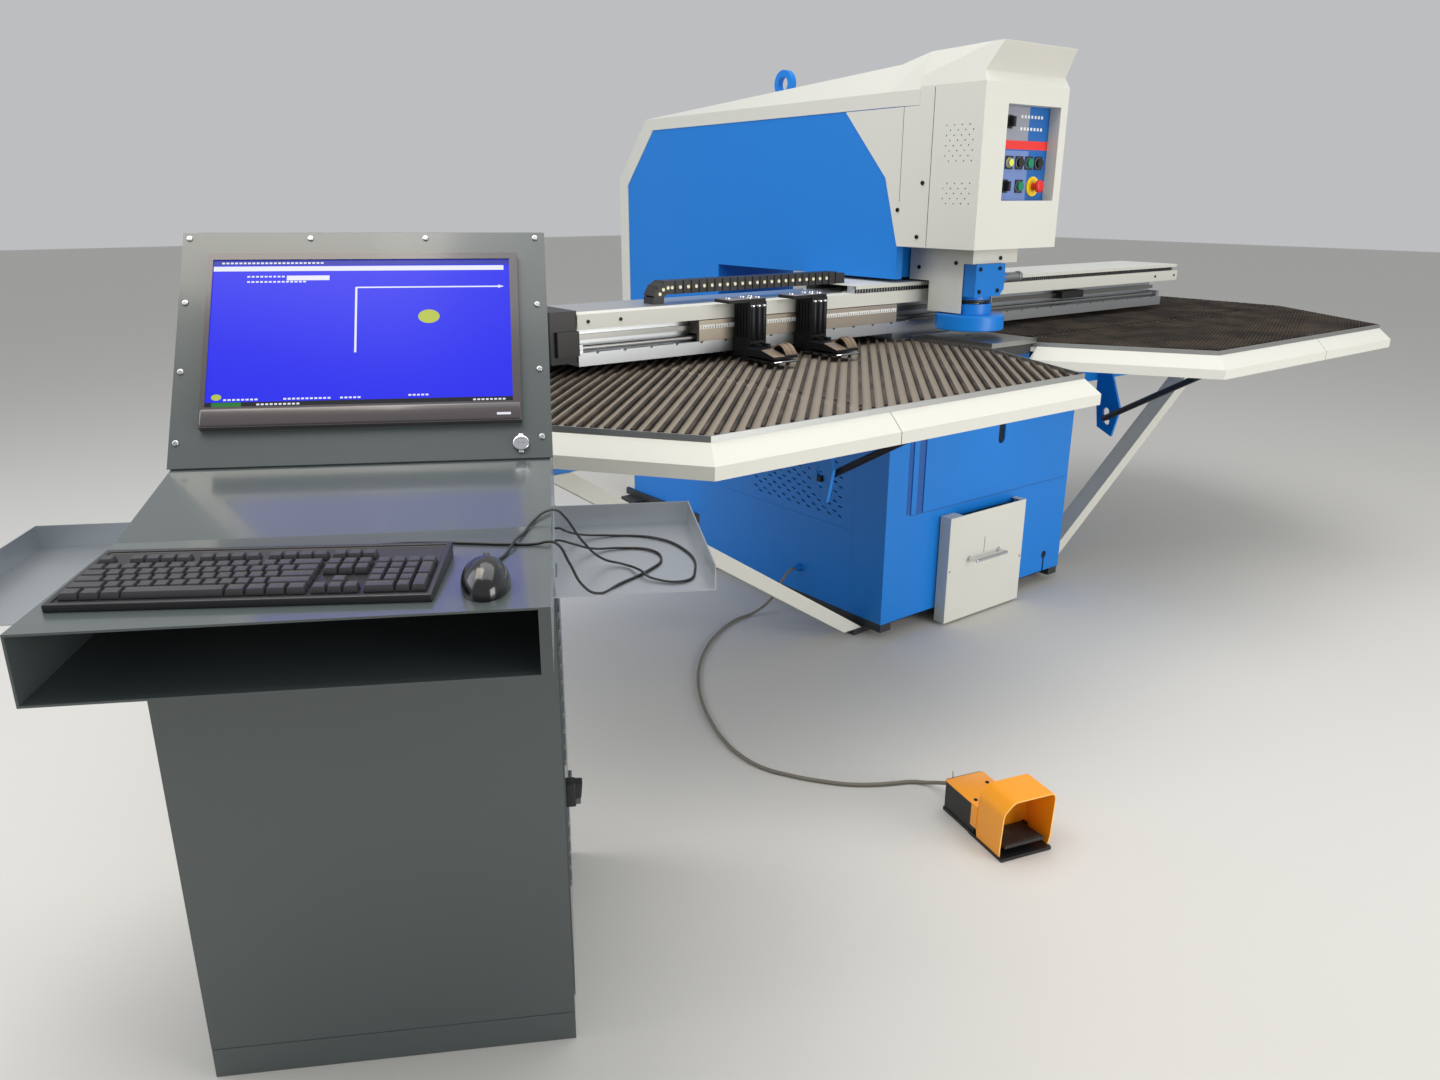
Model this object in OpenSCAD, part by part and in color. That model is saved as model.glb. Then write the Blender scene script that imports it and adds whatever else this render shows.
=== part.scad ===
// CNC punch press with a C-frame, brush tables, clamp beam, control console and foot pedal.
// Origin: on the floor under the punch axis. +X runs along the beam, +Y into the throat, +Z up.

/* [C-frame] */
// Width of the C-frame over its two side plates
frame_w = 410; // [396:2:430]
// Thickness of each side plate
plate_t = 30; // [20:1:40]
// Rear face of the frame behind the punch axis
frame_back = 1845; // [1780:5:1950]
// Depth of the throat behind the punch axis
throat_d = 1130; // [1110:5:1200]
// Top of the lower arm above the floor
arm_top = 915; // [905:1:922]
// Underside of the upper arm above the floor
throat_top = 1150; // [1144:1:1160]
// Top of the frame at its front
frame_top = 1722; // [1700:1:1736]

/* [Base] */
// Width of the base over its side covers
base_w = 986; // [960:2:1040]
// Front face of the base before the punch axis
base_reach = 124; // [118:1:150]
// Rear edge of the side covers behind the punch axis
base_back = 880; // [860:5:960]
// Lower edge of the covers above the floor
base_gap = 55; // [48:1:64]
// Upper edge of the covers above the floor
base_top = 858; // [852:1:864]
// Thickness of the sheet that covers, cap and tables are folded from
sheet_t = 3; // [2:0.5:4]
// Thickness of the sole plates
sole_t = 25; // [15:1:32]
// Radius of the anchor holes
anchor_r = 9; // [6:0.5:14]

/* [Head] */
// Front face of the head cover before the punch axis
head_reach = 165; // [155:1:180]
// Lower edge of the head cover above the floor
head_low = 1258; // [1250:1:1261]
// Top of the head cover's front face above the floor
head_top = 1745; // [1740:1:1750]
// Width of the control recess
recess_w = 267; // [250:1:290]
// Height of the control recess
recess_h = 283; // [270:1:300]
// Depth of the control recess
recess_d = 40; // [30:1:45]
// Radius of the hole in the lifting eye
eye_hole_r = 27; // [15:1:34]

/* [Punch and die] */
// Radius of the ram
ram_r = 45; // [38:0.5:48]
// Radius of the turning tool disc
disc_r = 115; // [100:1:118]
// Radius of the punch tip
punch_r = 12; // [6:0.5:18]
// Radial clearance of the die round the punch tip
die_clear = 0.2; // [0.1:0.05:0.6]
// Radius of the turning die disc
die_disc_r = 60; // [50:1:80]
// Working height: top of the die plate above the floor
die_top = 966; // [964:0.5:968]
// Width of the die plate
die_plate_w = 236; // [220:2:240]

/* [Tables] */
// Half the span over both table fields
table_x = 2050; // [1900:10:2200]
// Half the straight front edge
table_corner_x = 1632; // [1560:4:1760]
// Front edge of the table fields before the punch axis
table_front = 675; // [640:5:720]
// Rear edge of the table fields behind the punch axis
table_rear = 700; // [680:5:760]
// Where the corner chamfer ends, before the punch axis
chamfer_end = 95; // [60:5:160]
// Height of the table deck above the floor
deck_z = 938; // [936:0.5:939]
// How far the fascia's bevel reaches outwards
fascia_out = 40; // [25:1:50]
// Height of the bevel
fascia_drop = 40; // [25:1:45]
// Height of the fascia below its bevel
fascia_h = 30; // [20:1:40]
// Height of the brush tips above the floor
brush_top = 958; // [950:0.5:959]
// Distance between brush rows
brush_pitch = 30; // [24:1:48]
// Thickness of a brush row
brush_w = 10; // [6:1:16]

/* [Beam] */
// Half the length of the beam
beam_x = 1475; // [1420:5:1540]
// Front face of the beam behind the punch axis
beam_y = 155; // [153:1:165]
// Depth of the beam from front to back
beam_d = 260; // [245:5:280]
// Underside of the beam above the floor
beam_z = 972; // [970:0.5:974]
// Width of a clamp body
clamp_w = 63; // [56:1:72]
// Centre of the left clamp along the beam
clamp_left_x = -877.5; // [-900:0.5:-850]
// Centre of the right clamp along the beam
clamp_right_x = -629.5; // [-650:0.5:-560]
// Width of a clamp jaw
jaw_w = 93; // [70:1:100]
// Height of the gap between the jaws
jaw_gap = 6; // [4:0.5:7]

/* [Console] */
// Width of the console
console_w = 604; // [580:2:640]
// Depth of the console cabinet
console_d = 560; // [540:5:600]
// Height of the console above the floor
console_h = 1354; // [1330:2:1400]
// Height of the desk above the floor
desk_z = 956; // [940:1:970]
// How far the desk stands out before the cabinet
desk_reach = 335; // [320:5:360]
// Height of the open shelf under the desk
shelf_h = 88; // [80:1:110]
// Place of the cabinet's left front corner along X
console_x = -2720; // [-2900:5:-2700]
// Place of the cabinet's left front corner along Y
console_y = -718; // [-900:2:-700]
// Turn of the console about the vertical
console_turn = -29.5; // [-45:0.5:-15]

/* [Pedal] */
// Width of the pedal's hood
pedal_w = 142; // [136:1:160]
// Length of the pedal
pedal_l = 234; // [225:1:260]
// Height of the hood
pedal_h = 146; // [136:1:156]
// Diameter of the pedal's cord
cord_d = 10; // [7:0.5:10]

/* [Hidden] */
BLUE = "#2b83d8";
CREAM = "#e8e6da";
STEEL = "#a9adb0";
CHROME = "#d6d9dc";
BLACK = "#1d1e20";
DARK = "#3a3d40";
CONSOLE_GREY = "#4a5557";
YELLOW = "#f2a516";

$fn = 48;
eps = 0.01;
half_w = frame_w / 2;
half_base = base_w / 2;
inner_w = frame_w - 2 * plate_t;
web_t = 25;
web_low_t = 15;
run = 0.3;

// Frame outline: slope of its top, rear chamfer and head
frame_front = 110;
top_fall = 22;
chamfer_top_y = frame_back - 215;
chamfer_low_z = frame_top - 252;
nose_y = 160;
arm_web_y = 215;
head_plate_z = head_low + sheet_t;
head_plate_t = 31;

// Ram, tool and die
ram_gap = 0.05;
ram_bottom = 1075;
ram_step_z = 1340;
ram_step_clear = 50;
rod_r = 30;
rod_top = 1500;
cylinder_r = 85;
cylinder_top = 1650;
disc_low = 989;
disc_top = 1040;
disc_neck_r = 70;
spindle_r = 20;
spindle_h = 40;
punch_body_r = 25;
punch_body_h = 41;
punch_tip_z = 981;
scraper_h = 12;
housing_low = 1100;
housing_top = 1205;
fitting_z = 1158;
housing_w = 150;
die_plate_t = 16;
die_hole_r = punch_r + die_clear;
slug_r = 42;
chute_low = 400;
chute_wall = 4;

// Drawer
drawer_w = 320;
drawer_low = base_gap + web_low_t + run;
drawer_h = 298;
drawer_back = 480;
front_x0 = -226;
front_x1 = 182;
front_z0 = 8;
front_z1 = 388;
front_d = 45;
front_gap = 3;
sight_slit = [-39, 232, 290];
drawer_face_y = -base_reach - front_gap - front_d;

// Arms and braces
arm_half = 40;
arm_low = 740;
arm_high = 850;
arm_end_x = 1650;
arm_clear = 2;
bracket_x = 760;
bracket_t = 12;
bracket_tip = [[-60, 560], [-125, 530], [-150, 640]];
bracket_root_y = -100;
tie_slot = [-98, 600];
tie_r = 11;
brace_foot_x = 500;
brace_reach_left = 1100;
brace_reach_right = 980;
brace_w = 70;
brace_d = 45;
brace_t = 4;

// Y axis
rail_x = 150;
rail_w = 30;
rail_h = 30;
rail_y0 = 140;
rail_y1 = throat_d - 8;
saddle_w = 380;
saddle_y0 = beam_y + 20;
saddle_d = 225;

// Beam section
lip_h = 36;
lip_d = 60;
web_y = beam_y + lip_d;
beam_back = beam_y + beam_d;
beam_top = beam_z + 140;
beam_wall = 8;
cover_low = beam_z + 99;
cover_x0 = -1448;
cover_x1 = 1587;
lid_low = beam_top + 14;
lid_top = beam_top + 26;
lid_x0 = -390;
lid_x1 = 1580;
lid_back = 600;
cap_x0 = -1530;
cap_x1 = cover_x0;
x_rail_z = beam_z + 66;
lip_hole_pitch = 90;
x_rail_h = 14;
x_rail_d = 20;
rail_stop = [772, 917];
guide_bar_z = beam_z + 46;
guide_bar_r = 7;
guide_bar_y = beam_y + 25;
bar_x0 = -1041;
bar_x1 = -200;
slider_w = 90;
slider_x = [bar_x0 + 10, bar_x0 + 375, bar_x1 - slider_w - 10];
bar_y = beam_y - 5;
bar_t = 12;
bar_low = beam_z + lip_h + 1;
bar_top = cover_low - 2;

// Clamps
clamp_y0 = 76;
clamp_top = beam_z + 149;
clamp_plate_w = 139;
lower_jaw_t = 5;
lower_jaw_low = brush_top + 2;
jaw_y0 = -70;
jaw_h = 20;
jaw_low = lower_jaw_low + lower_jaw_t + jaw_gap;
jaw_hinge_y = 55;
jaw_hinge_z = jaw_low + 15;
jaw_shift = 15;
ear_x = [-22, 10];
ear_w = 12;
hinge_pin_r = 5;
pin_gap = 0.05;

// Console section, front to back
panel_y0 = 237;
panel_z0 = desk_z + 43;
panel_y1 = 487;
panel_run = [panel_y1 - panel_y0, console_h - panel_z0];
panel_len = norm(panel_run);
panel_tilt = atan2(panel_run[1], panel_run[0]);
panel_over = 4.5;
wall = 3;
door_y0 = 15;
door_y1 = console_d - 30;
door_z0 = 80;
door_z1 = 830;
plinth_h = 58;
latch_z = [462, 498];
hinge_z = [180, 690];
knuckle_h = 22;
knuckle_r = 4.5;
knuckle_pin_r = 2;
hinge_axis = [console_w + 5, door_y1 + 2];

// Place of the pedal's front left corner, and its turn about the vertical
pedal_place = [-1180, -1153, -15.8];

// Points of the pedal's cord, chosen by hand, in the part's own frame
gland_l = 25;
gland_y = 278;
gland_z = 148;
pedal_gland_x = 52;
pedal_gland_z = 40;
pedal_gland_l = 12;
pedal_y = [-sin(pedal_place[2]), cos(pedal_place[2]), 0];
pedal_gland_end = [
    pedal_place[0] + pedal_gland_x * cos(pedal_place[2]), pedal_place[1] + pedal_gland_x * sin(pedal_place[2]),
    pedal_gland_z] + pedal_y * (pedal_l + pedal_gland_l + 0.02);
pedal_cord_points = [
    [-half_base - gland_l - 0.02, gland_y, gland_z], [-half_base - gland_l - 14, gland_y, gland_z],
    [-565, 284, 120], [-610, 296, 50], [-670, 306, 12], [-774, 299, 5],
    [-900, 240, 5], [-1011, 161, 5], [-1095, 80, 5], [-1163, -3, 5], [-1235, -115, 5],
    [-1291, -230, 5], [-1330, -340, 5], [-1347, -434, 5], [-1340, -520, 5],
    [-1309, -591, 5], [-1265, -660, 5], [-1218, -716, 5], [-1165, -757, 5],
    [-1120, -783, 5], [-1085, -802, 5], [-1062, -832, 8], [-1055, -868, 22],
    pedal_gland_end + pedal_y * 16, pedal_gland_end
];
// Trays, keyboard and mouse in the console's own frame
tray_w = 240;
tray_z = desk_z - 96;
tray_y = [-60, 285];
tray_rim = 40;
tray_sheet = 2;
keyboard_size = [447, 172];
keyboard_place = [console_w / 2 - 57, -desk_reach + 135];
keyboard_turn = -3.5;
mouse_size = [62, 112, 38];
mouse_place = [console_w - 80, -desk_reach + 81];
mouse_boot_y = 58;
mouse_boot_z = 6;
small_cord_r = 2;

// Points of the keyboard's and the mouse's cords, chosen by hand, measured from the cabinet's side and the desk
function from_desk(points) = [for (p = points) [console_w + p[0], p[1], desk_z + p[2]]];
function from_keyboard(x, y, z) = [
    keyboard_place[0] + x * cos(keyboard_turn) - y * sin(keyboard_turn),
    keyboard_place[1] + x * sin(keyboard_turn) + y * cos(keyboard_turn), desk_z + z];
keyboard_cord_points = concat(
    [for (y = [0.02, 6]) from_keyboard(80, keyboard_size[1] / 2 + y, 10)],
    from_desk([
        [-269, -100, 6], [-262, -88, 3], [-234, -74, 2.2], [-174, -72, 2.2], [-114, -84, 2.2], [-59, -96, 2.2],
        [-19, -100, 2.6], [-4, -99, 4.5], [7, -97, 1], [24, -90, -31], [41, -80, -69], [61, -66, -89],
        [101, -20, -91.8], [146, 30, -91.8], [171, 80, -91.8], [156, 130, -91.8], [111, 145, -91.8],
        [61, 135, -87], [28, 124, -73], [tray_sheet + 8, 120, -66], [tray_sheet + 0.02, 120, -66]
    ]));
mouse_cord_points = concat(
    [for (y = [0.02, 8]) [mouse_place[0], mouse_place[1] + mouse_boot_y + y, desk_z + mouse_boot_z]],
    from_desk([
        [-64, -150, 2.4], [-56, -122, 4], [-50, -97, 7], [-45, -72, 4.5], [-38, -45, 2.4], [-26, 0, 5.3],
        [-6, 28, 11.5], [8, 37, 9.5], [20, 46, -4], [46, 60, -49], [76, 68, -82], [108, 60, -90],
        [133, 16, -86.5], [148, -10, -90], [196, -25, -91.8], [218, 20, -91.8], [211, 130, -91.8],
        [166, 195, -91.8], [96, 215, -91.8], [46, 205, -85], [20, 191, -73],
        [tray_sheet + 8, 186, -66], [tray_sheet + 0.02, 186, -66]
    ]));

// Places children in the console's frame
module at_console() translate([console_x, console_y, 0]) rotate([0, 0, console_turn]) children();

// Places children in the pedal's frame
module at_pedal() translate([pedal_place[0], pedal_place[1], 0]) rotate([0, 0, pedal_place[2]]) children();

// A block between two corners
module block(low, high) translate(low) cube(high - low);

// A block on both sides of the middle plane
module pair(low, high) {
    block(low, high);
    mirror([1, 0, 0]) block(low, high);
}

// Extrudes an outline drawn in Y and Z along X, from x0 to x1
module along_x(x0, x1) translate([x0, 0, 0]) rotate([90, 0, 90]) linear_extrude(x1 - x0) children();

// A tube swept along points, with a flat end at each end
function unit(v) = v / norm(v);
function tangent(p, i) =
    i == 0 ? unit(p[1] - p[0])
    : i == len(p) - 1 ? unit(p[i] - p[i - 1])
    : unit(unit(p[i + 1] - p[i]) + unit(p[i] - p[i - 1]));
function side_of(t) = abs(t[2]) > 0.98 ? unit(cross(t, [0, 1, 0])) : unit(cross(t, [0, 0, 1]));
module tube(points, r, sides) {
    n = len(points);
    rings = [for (i = [0:n - 1])
        let (t = tangent(points, i), a = side_of(t), b = cross(t, a))
        for (k = [0:sides - 1]) points[i] + r * (a * cos(360 * k / sides) + b * sin(360 * k / sides))];
    faces = concat(
        [[for (k = [0:sides - 1]) k]],
        [for (i = [0:n - 2]) for (k = [0:sides - 1])
            let (j = (k + 1) % sides)
            [i * sides + k, (i + 1) * sides + k, (i + 1) * sides + j, i * sides + j]],
        [[for (k = [sides - 1:-1:0]) (n - 1) * sides + k]]);
    polyhedron(rings, faces, convexity = 10);
}

// Welded sole frame with anchor holes
module base_frame() color(DARK) difference() {
    union() {
        pair([half_w - plate_t - 10, -frame_front, sole_t], [half_w + 10, frame_back, base_gap]);
        pair([half_base - 53, -base_reach + sheet_t, sole_t],
             [half_base - sheet_t, base_back - sheet_t, base_gap]);
        block([-half_base - 37, -40, 0], [half_base + 37, 60, sole_t]);
        block([-half_base - 37, base_back - 110, 0], [half_base + 37, base_back - 10, sole_t]);
        block([-half_w - 60, frame_back - 150, 0], [half_w + 60, frame_back - 30, sole_t]);
    }
    for (x = [-1, 1], y = [10, base_back - 60])
        translate([x * (half_base + 17), y, -1]) cylinder(r = anchor_r, h = sole_t + 2);
}

// Outline of a side plate, as Y and Z
frame_outline = [
    [-frame_front, base_gap], [frame_back, base_gap], [frame_back, chamfer_low_z],
    [chamfer_top_y, frame_top - top_fall], [-frame_front, frame_top],
    [-frame_front, head_plate_z], [nose_y, head_plate_z], [nose_y, throat_top],
    [throat_d, throat_top], [throat_d, arm_top], [-frame_front, arm_top]
];

// A web between the side plates along a line from a to b, its thickness to the left of the line
module web(a, b, t) {
    d = unit(b - a);
    n = [-d[1], d[0]] * t;
    along_x(-inner_w / 2 - eps, inner_w / 2 + eps) polygon([a, b, b + n, a + n]);
}

// Welded C-frame: two side plates, webs between them and the slug chute
module c_frame() color(BLUE) difference() {
    union() {
        for (s = [-half_w, half_w - plate_t]) along_x(s, s + plate_t) polygon(frame_outline);
        web([-frame_front, base_gap], [frame_back, base_gap], web_low_t);
        web([-frame_front, arm_top - 30], [throat_d, arm_top - 30], 30);
        web([throat_d + 30, arm_top - 30], [throat_d + 30, throat_top + 30], 30);
        web([arm_web_y, throat_top], [throat_d, throat_top], 30);
        web([arm_web_y + 20, throat_top], [arm_web_y + 20, head_plate_z + head_plate_t], 20);
        web([-frame_front, head_plate_z], [arm_web_y + 20, head_plate_z], head_plate_t);
        web([frame_back, base_gap], [frame_back, chamfer_low_z], web_t);
        web([frame_back, chamfer_low_z], [chamfer_top_y, frame_top - top_fall], web_t);
        web([chamfer_top_y, frame_top - top_fall], [-frame_front, frame_top], web_t);
        web([-frame_front + 15, chute_low], [-frame_front + 15, arm_top - 30], 15);
        translate([0, 0, chute_low]) cylinder(r = slug_r + chute_wall, h = arm_top - 30 - chute_low + eps);
    }
    translate([0, 0, chute_low - 1]) cylinder(r = slug_r, h = arm_top - chute_low + 2);
    translate([0, 0, head_plate_z - 1]) cylinder(r = ram_r + 5, h = head_plate_t + 2);
}

// One cross-section of the cap: half width and height of its lip, bend and ridge
slice_t = 1;
module cap_slice(y, lip, bend, ridge, inset) translate([0, y, 0]) rotate([90, 0, 0])
    linear_extrude(slice_t) polygon([
        [-lip[0] + inset, lip[1] - (inset > 0 ? 1 : 0)], [lip[0] - inset, lip[1] - (inset > 0 ? 1 : 0)],
        [bend[0] - inset, bend[1] - inset / 2], [ridge[0] - inset, ridge[1] - inset],
        [-ridge[0] + inset, ridge[1] - inset], [-bend[0] + inset, bend[1] - inset / 2]
    ]);
module cap_layer(z, half_x, y0, y1, inset) translate([-half_x + inset, y0 + inset, z])
    cube([2 * (half_x - inset), y1 - y0 - inset, slice_t]);

cap_w = half_w + sheet_t;
rim_w = cap_w - 0.5;
ridge_w = cap_w - 43;
visor_w = cap_w - 28;
cap_y = 94;
cap_y2 = 218;
bend_z = frame_top + 16;
lip_z = frame_top - 30;
visor_z = head_top + 31;
visor_top = head_top + 111;
visor_y = -200;
cap_end = [chamfer_top_y + 4, frame_top - 3];

// The cap's solid form, or its inside when inset is above zero
module cap_form(inset) {
    drop = inset > 0 ? 1 : 0;
    hull() {
        cap_layer(head_top - drop, cap_w, -head_reach, cap_y + inset, inset);
        cap_layer(visor_z - inset, cap_w - 8, -head_reach + 15, cap_y + inset, inset);
    }
    hull() {
        cap_layer(visor_z - inset - drop, cap_w - 8, -head_reach + 15, cap_y + inset, inset);
        cap_layer(visor_top - inset - slice_t, visor_w, visor_y, visor_y + 40, inset);
        cap_slice(cap_y + inset, [ridge_w, visor_z], [ridge_w, visor_z + 20], [ridge_w, visor_top - 6], inset);
    }
    hull() {
        cap_slice(cap_y, [cap_w, lip_z], [cap_w, bend_z], [ridge_w, visor_top - 6], inset);
        cap_slice(cap_y2, [cap_w, lip_z], [cap_w, bend_z], [ridge_w, visor_top - 34], inset);
    }
    hull() {
        cap_slice(cap_y2 - inset, [cap_w, lip_z], [cap_w, bend_z], [ridge_w, visor_top - 34], inset);
        cap_slice(cap_end[0], [cap_w, lip_z - 17], [cap_w, bend_z - 19], [ridge_w - 15, bend_z - 13], inset);
    }
}

// Folded cap over the upper arm, with the visor in front and the rim round the rear
module arm_cap() color(CREAM) {
    difference() {
        cap_form(0);
        cap_form(sheet_t);
        translate([0, eye_y, frame_top - 60]) cylinder(r = 24, h = 200);
    }
    rim_outer = [cap_end, [frame_back + sheet_t, chamfer_low_z + 9], [frame_back + sheet_t, base_gap + 5]];
    rim_inner = [
        [frame_back - 62, base_gap + 5], [frame_back - 62, chamfer_low_z - 15],
        [chamfer_top_y - 49, frame_top - 47]];
    difference() {
        along_x(-rim_w, rim_w) polygon(concat(rim_outer, rim_inner));
        along_x(-half_w, half_w) polygon(concat(
            [[-50, frame_top + 60], [cap_end[0], cap_end[1] - 3]],
            [[frame_back, chamfer_low_z + 8], [frame_back, base_gap - 5], [-50, base_gap - 5]]));
    }
}

// Sheet cover round the head, with the control recess in its front
recess_x0 = -95;
recess_z0 = 1405;
side_bend = [226, 1475];
side_tip_y = 421;
ram_opening = [82, -77];
vent_r = 2.6;
vent_pitch = 15;
vent_y = -129;
vent_z = [1396, 1522];
vent_rows = [4, 7];
module head_cover() color(CREAM) difference() {
    w = half_w + sheet_t;
    union() {
        block([-w, -head_reach, head_low], [w, -head_reach + sheet_t, head_top]);
        for (s = [-w, half_w]) along_x(s, s + sheet_t) polygon([
            [-head_reach, head_low], [nose_y, head_low], side_bend, [side_tip_y, lip_z - 9],
            [side_tip_y, lip_z - 5], [cap_y - 1.5, lip_z - 1],
            [cap_y - 1.5, head_top], [-head_reach, head_top]]);
        difference() {
            block([-w, -head_reach, head_low], [w, nose_y, head_low + sheet_t]);
            block([-ram_opening[0], ram_opening[1], head_low - 1],
                  [ram_opening[0], nose_y + 1, head_low + sheet_t + 1]);
        }
        block([recess_x0 - 2, -head_reach, recess_z0 - 2],
              [recess_x0 + recess_w + 2, -head_reach + recess_d + sheet_t, recess_z0 + recess_h + 2]);
    }
    block([recess_x0, -head_reach - 1, recess_z0],
          [recess_x0 + recess_w, -head_reach + recess_d + sheet_t + 1, recess_z0 + recess_h]);
    for (s = [-w - 1, half_w - 1], field = [0:1]) for (i = [0:7], j = [0:vent_rows[field]])
        if ((i + j) % 2 == 0)
            translate([s, vent_y + i * vent_pitch, vent_z[field] + j * vent_pitch])
                rotate([0, 90, 0]) cylinder(r = vent_r, h = sheet_t + 2, $fn = 8);
}

// Lifting eye screwed to the top of the frame
eye_y = 977;
eye_z = 1826;
module lifting_eye() color(BLUE) difference() {
    seat = frame_top - top_fall * (eye_y + frame_front) / (chamfer_top_y + frame_front) + 0.6;
    union() {
        translate([0, eye_y, seat]) cylinder(r = 20, h = eye_z - 30 - seat);
        translate([-12, eye_y, eye_z]) rotate([0, 90, 0]) cylinder(r = 50, h = 24);
    }
    translate([-13, eye_y, eye_z]) rotate([0, 90, 0]) cylinder(r = eye_hole_r, h = 26);
}

// Room for the table arms where they pass through the covers
module arm_holes() pair([half_base - 10, -arm_half - arm_clear, arm_low - arm_clear],
                        [half_base + 10, arm_half + arm_clear, arm_high + arm_clear]);

// Front cover of the base, folded back at both sides
cover_seam = 25;
step_z = 419;
rib_x = [-380, -356, -322];
rib_h = 4;
hang_slot = [67, 617, 720];
keyhole = [394, 120];
module front_cover() color(BLUE) difference() {
    union() {
        block([-half_base, -base_reach, base_gap], [half_base, -base_reach + sheet_t, base_top]);
        pair([half_base - sheet_t, -base_reach, base_gap], [half_base, cover_seam - 0.5, base_top]);
        block([rib_x[0], -base_reach - rib_h, step_z], [rib_x[1], -base_reach + eps, base_top]);
        block([rib_x[2], -base_reach - rib_h, step_z], [half_base - 22, -base_reach + eps, base_top]);
    }
    block([-drawer_w / 2 - 5, -base_reach - 1, base_gap + 10],
          [drawer_w / 2 + 5, -base_reach + sheet_t + 1, drawer_low + drawer_h + 5]);
    hull() for (z = [hang_slot[1], hang_slot[2]])
        translate([hang_slot[0], -base_reach - 6, z]) rotate([-90, 0, 0]) cylinder(r = 17.5, h = 12, $fn = 32);
    translate([keyhole[0], -base_reach - 1, keyhole[1]]) rotate([-90, 0, 0]) cylinder(r = 15, h = sheet_t + 2);
    block([keyhole[0] - 5, -base_reach - 1, base_gap - 1],
          [keyhole[0] + 5, -base_reach + sheet_t + 1, keyhole[1]]);
    arm_holes();
}

// Side cover of the base; the left one has louvres and carries the cord gland
side_seam = 350;
louvre_start = [80, 380];
module side_cover(left) difference() {
    union() {
        block([-half_base, cover_seam, base_gap], [-half_base + sheet_t, base_back, base_top]);
        block([-half_base, base_back - sheet_t, base_gap], [-half_w, base_back, base_top]);
        if (left) translate([-half_base, gland_y, gland_z]) rotate([0, -90, 0])
            cylinder(r1 = 15, r2 = 9, h = gland_l);
    }
    block([-half_base - 1, cover_seam + 12, side_seam - 1.5],
          [-half_base + 1, base_back - 12, side_seam + 1.5]);
    for (i = [0:17], j = [0:5])
        translate([-half_base - 1, louvre_start[0] + i * 26, louvre_start[1] + j * 34 + (i % 2) * 14])
            along_x(0, sheet_t + 2) polygon([[0, 0], [18, 4], [18, 9], [0, 5]]);
    arm_holes();
}
module side_cover_left() color(BLUE) side_cover(true);
module side_cover_right() color(BLUE) mirror([1, 0, 0]) side_cover(false);

// Scrap drawer: open box with a hollow front
module scrap_drawer() color(CREAM) difference() {
    union() {
        block([-drawer_w / 2, drawer_face_y + 1, drawer_low],
              [drawer_w / 2, drawer_back, drawer_low + drawer_h]);
        block([front_x0, drawer_face_y, front_z0], [front_x1, drawer_face_y + front_d, front_z1]);
    }
    block([-drawer_w / 2 + 2, drawer_face_y + 4, drawer_low + 2],
          [drawer_w / 2 - 2, drawer_back - 2, front_z1 + 10]);
    difference() {
        block([front_x0 + 2, drawer_face_y + 2, front_z0 + 2],
              [front_x1 - 2, drawer_face_y + front_d + 1, front_z1 - 2]);
        block([-drawer_w / 2, drawer_face_y, drawer_low], [drawer_w / 2, drawer_back, drawer_low + drawer_h]);
    }
    block([-drawer_w / 2 + 2, drawer_face_y + 4, drawer_low + 2],
          [drawer_w / 2 - 2, drawer_face_y + front_d - 2, front_z1 - 2]);
    block([sight_slit[0], drawer_face_y - 1, sight_slit[1]],
          [sight_slit[0] + 4, drawer_face_y + 3, sight_slit[2]]);
}

// Bow handle of the drawer
handle_r = 6;
handle_x = [-117, 43];
handle_z = 226;
handle_out = 36;
module drawer_handle() color(CHROME) {
    y = drawer_face_y - handle_out;
    for (x = handle_x) translate([x, drawer_face_y, handle_z]) rotate([90, 0, 0]) {
        cylinder(r = handle_r, h = handle_out);
        cylinder(r = handle_r + 4, h = 3);
    }
    for (x = handle_x) translate([x, y, handle_z]) sphere(r = handle_r);
    translate([handle_x[0], y, handle_z]) rotate([0, 90, 0])
        cylinder(r = handle_r, h = handle_x[1] - handle_x[0]);
}

// Hydraulic tank with the pump motor on it, inside the left bay
tank_y = [120, 660];
tank_top = 400;
motor_r = 90;
motor_y = [200, 520];
pump_r = 60;
pump_l = 90;
module power_unit() color(DARK) {
    x0 = -half_base + 20;
    x1 = -half_w;
    block([x0, tank_y[0], base_gap], [x1, tank_y[1], tank_top]);
    translate([(x0 + x1) / 2, motor_y[0], tank_top + motor_r]) rotate([-90, 0, 0]) {
        cylinder(r = motor_r, h = motor_y[1] - motor_y[0]);
        cylinder(r = pump_r, h = motor_y[1] - motor_y[0] + pump_l);
    }
}

// Control overlay with the raised lamp and the e-stop collar
plate_y = -head_reach + recess_d;
lower_row = 1449;
middle_row = 1520;
upper_row = 1640;
row_x = [-20, 30, 80, 130];
stop_x = 109;
module control_boss(x, z, r, h) translate([x, plate_y, z]) rotate([90, 0, 0]) cylinder(r = r, h = h);
module control_hole(x, z, r) translate([x, plate_y - 20, z]) rotate([-90, 0, 0]) cylinder(r = r, h = 40);
module control_plate() color(BLUE) difference() {
    union() {
        block([recess_x0, plate_y, recess_z0], [recess_x0 + recess_w, plate_y + sheet_t, recess_z0 + recess_h]);
        control_boss(row_x[0], middle_row, 14, 12);
        control_boss(stop_x, lower_row, 30, 4);
    }
    for (x = [row_x[1], row_x[2], row_x[3]]) control_hole(x, middle_row, 11.05);
    for (p = [[-38, upper_row], [-38, lower_row], [38, lower_row], [stop_x, lower_row]])
        control_hole(p[0], p[1], 11.05);
}

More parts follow.
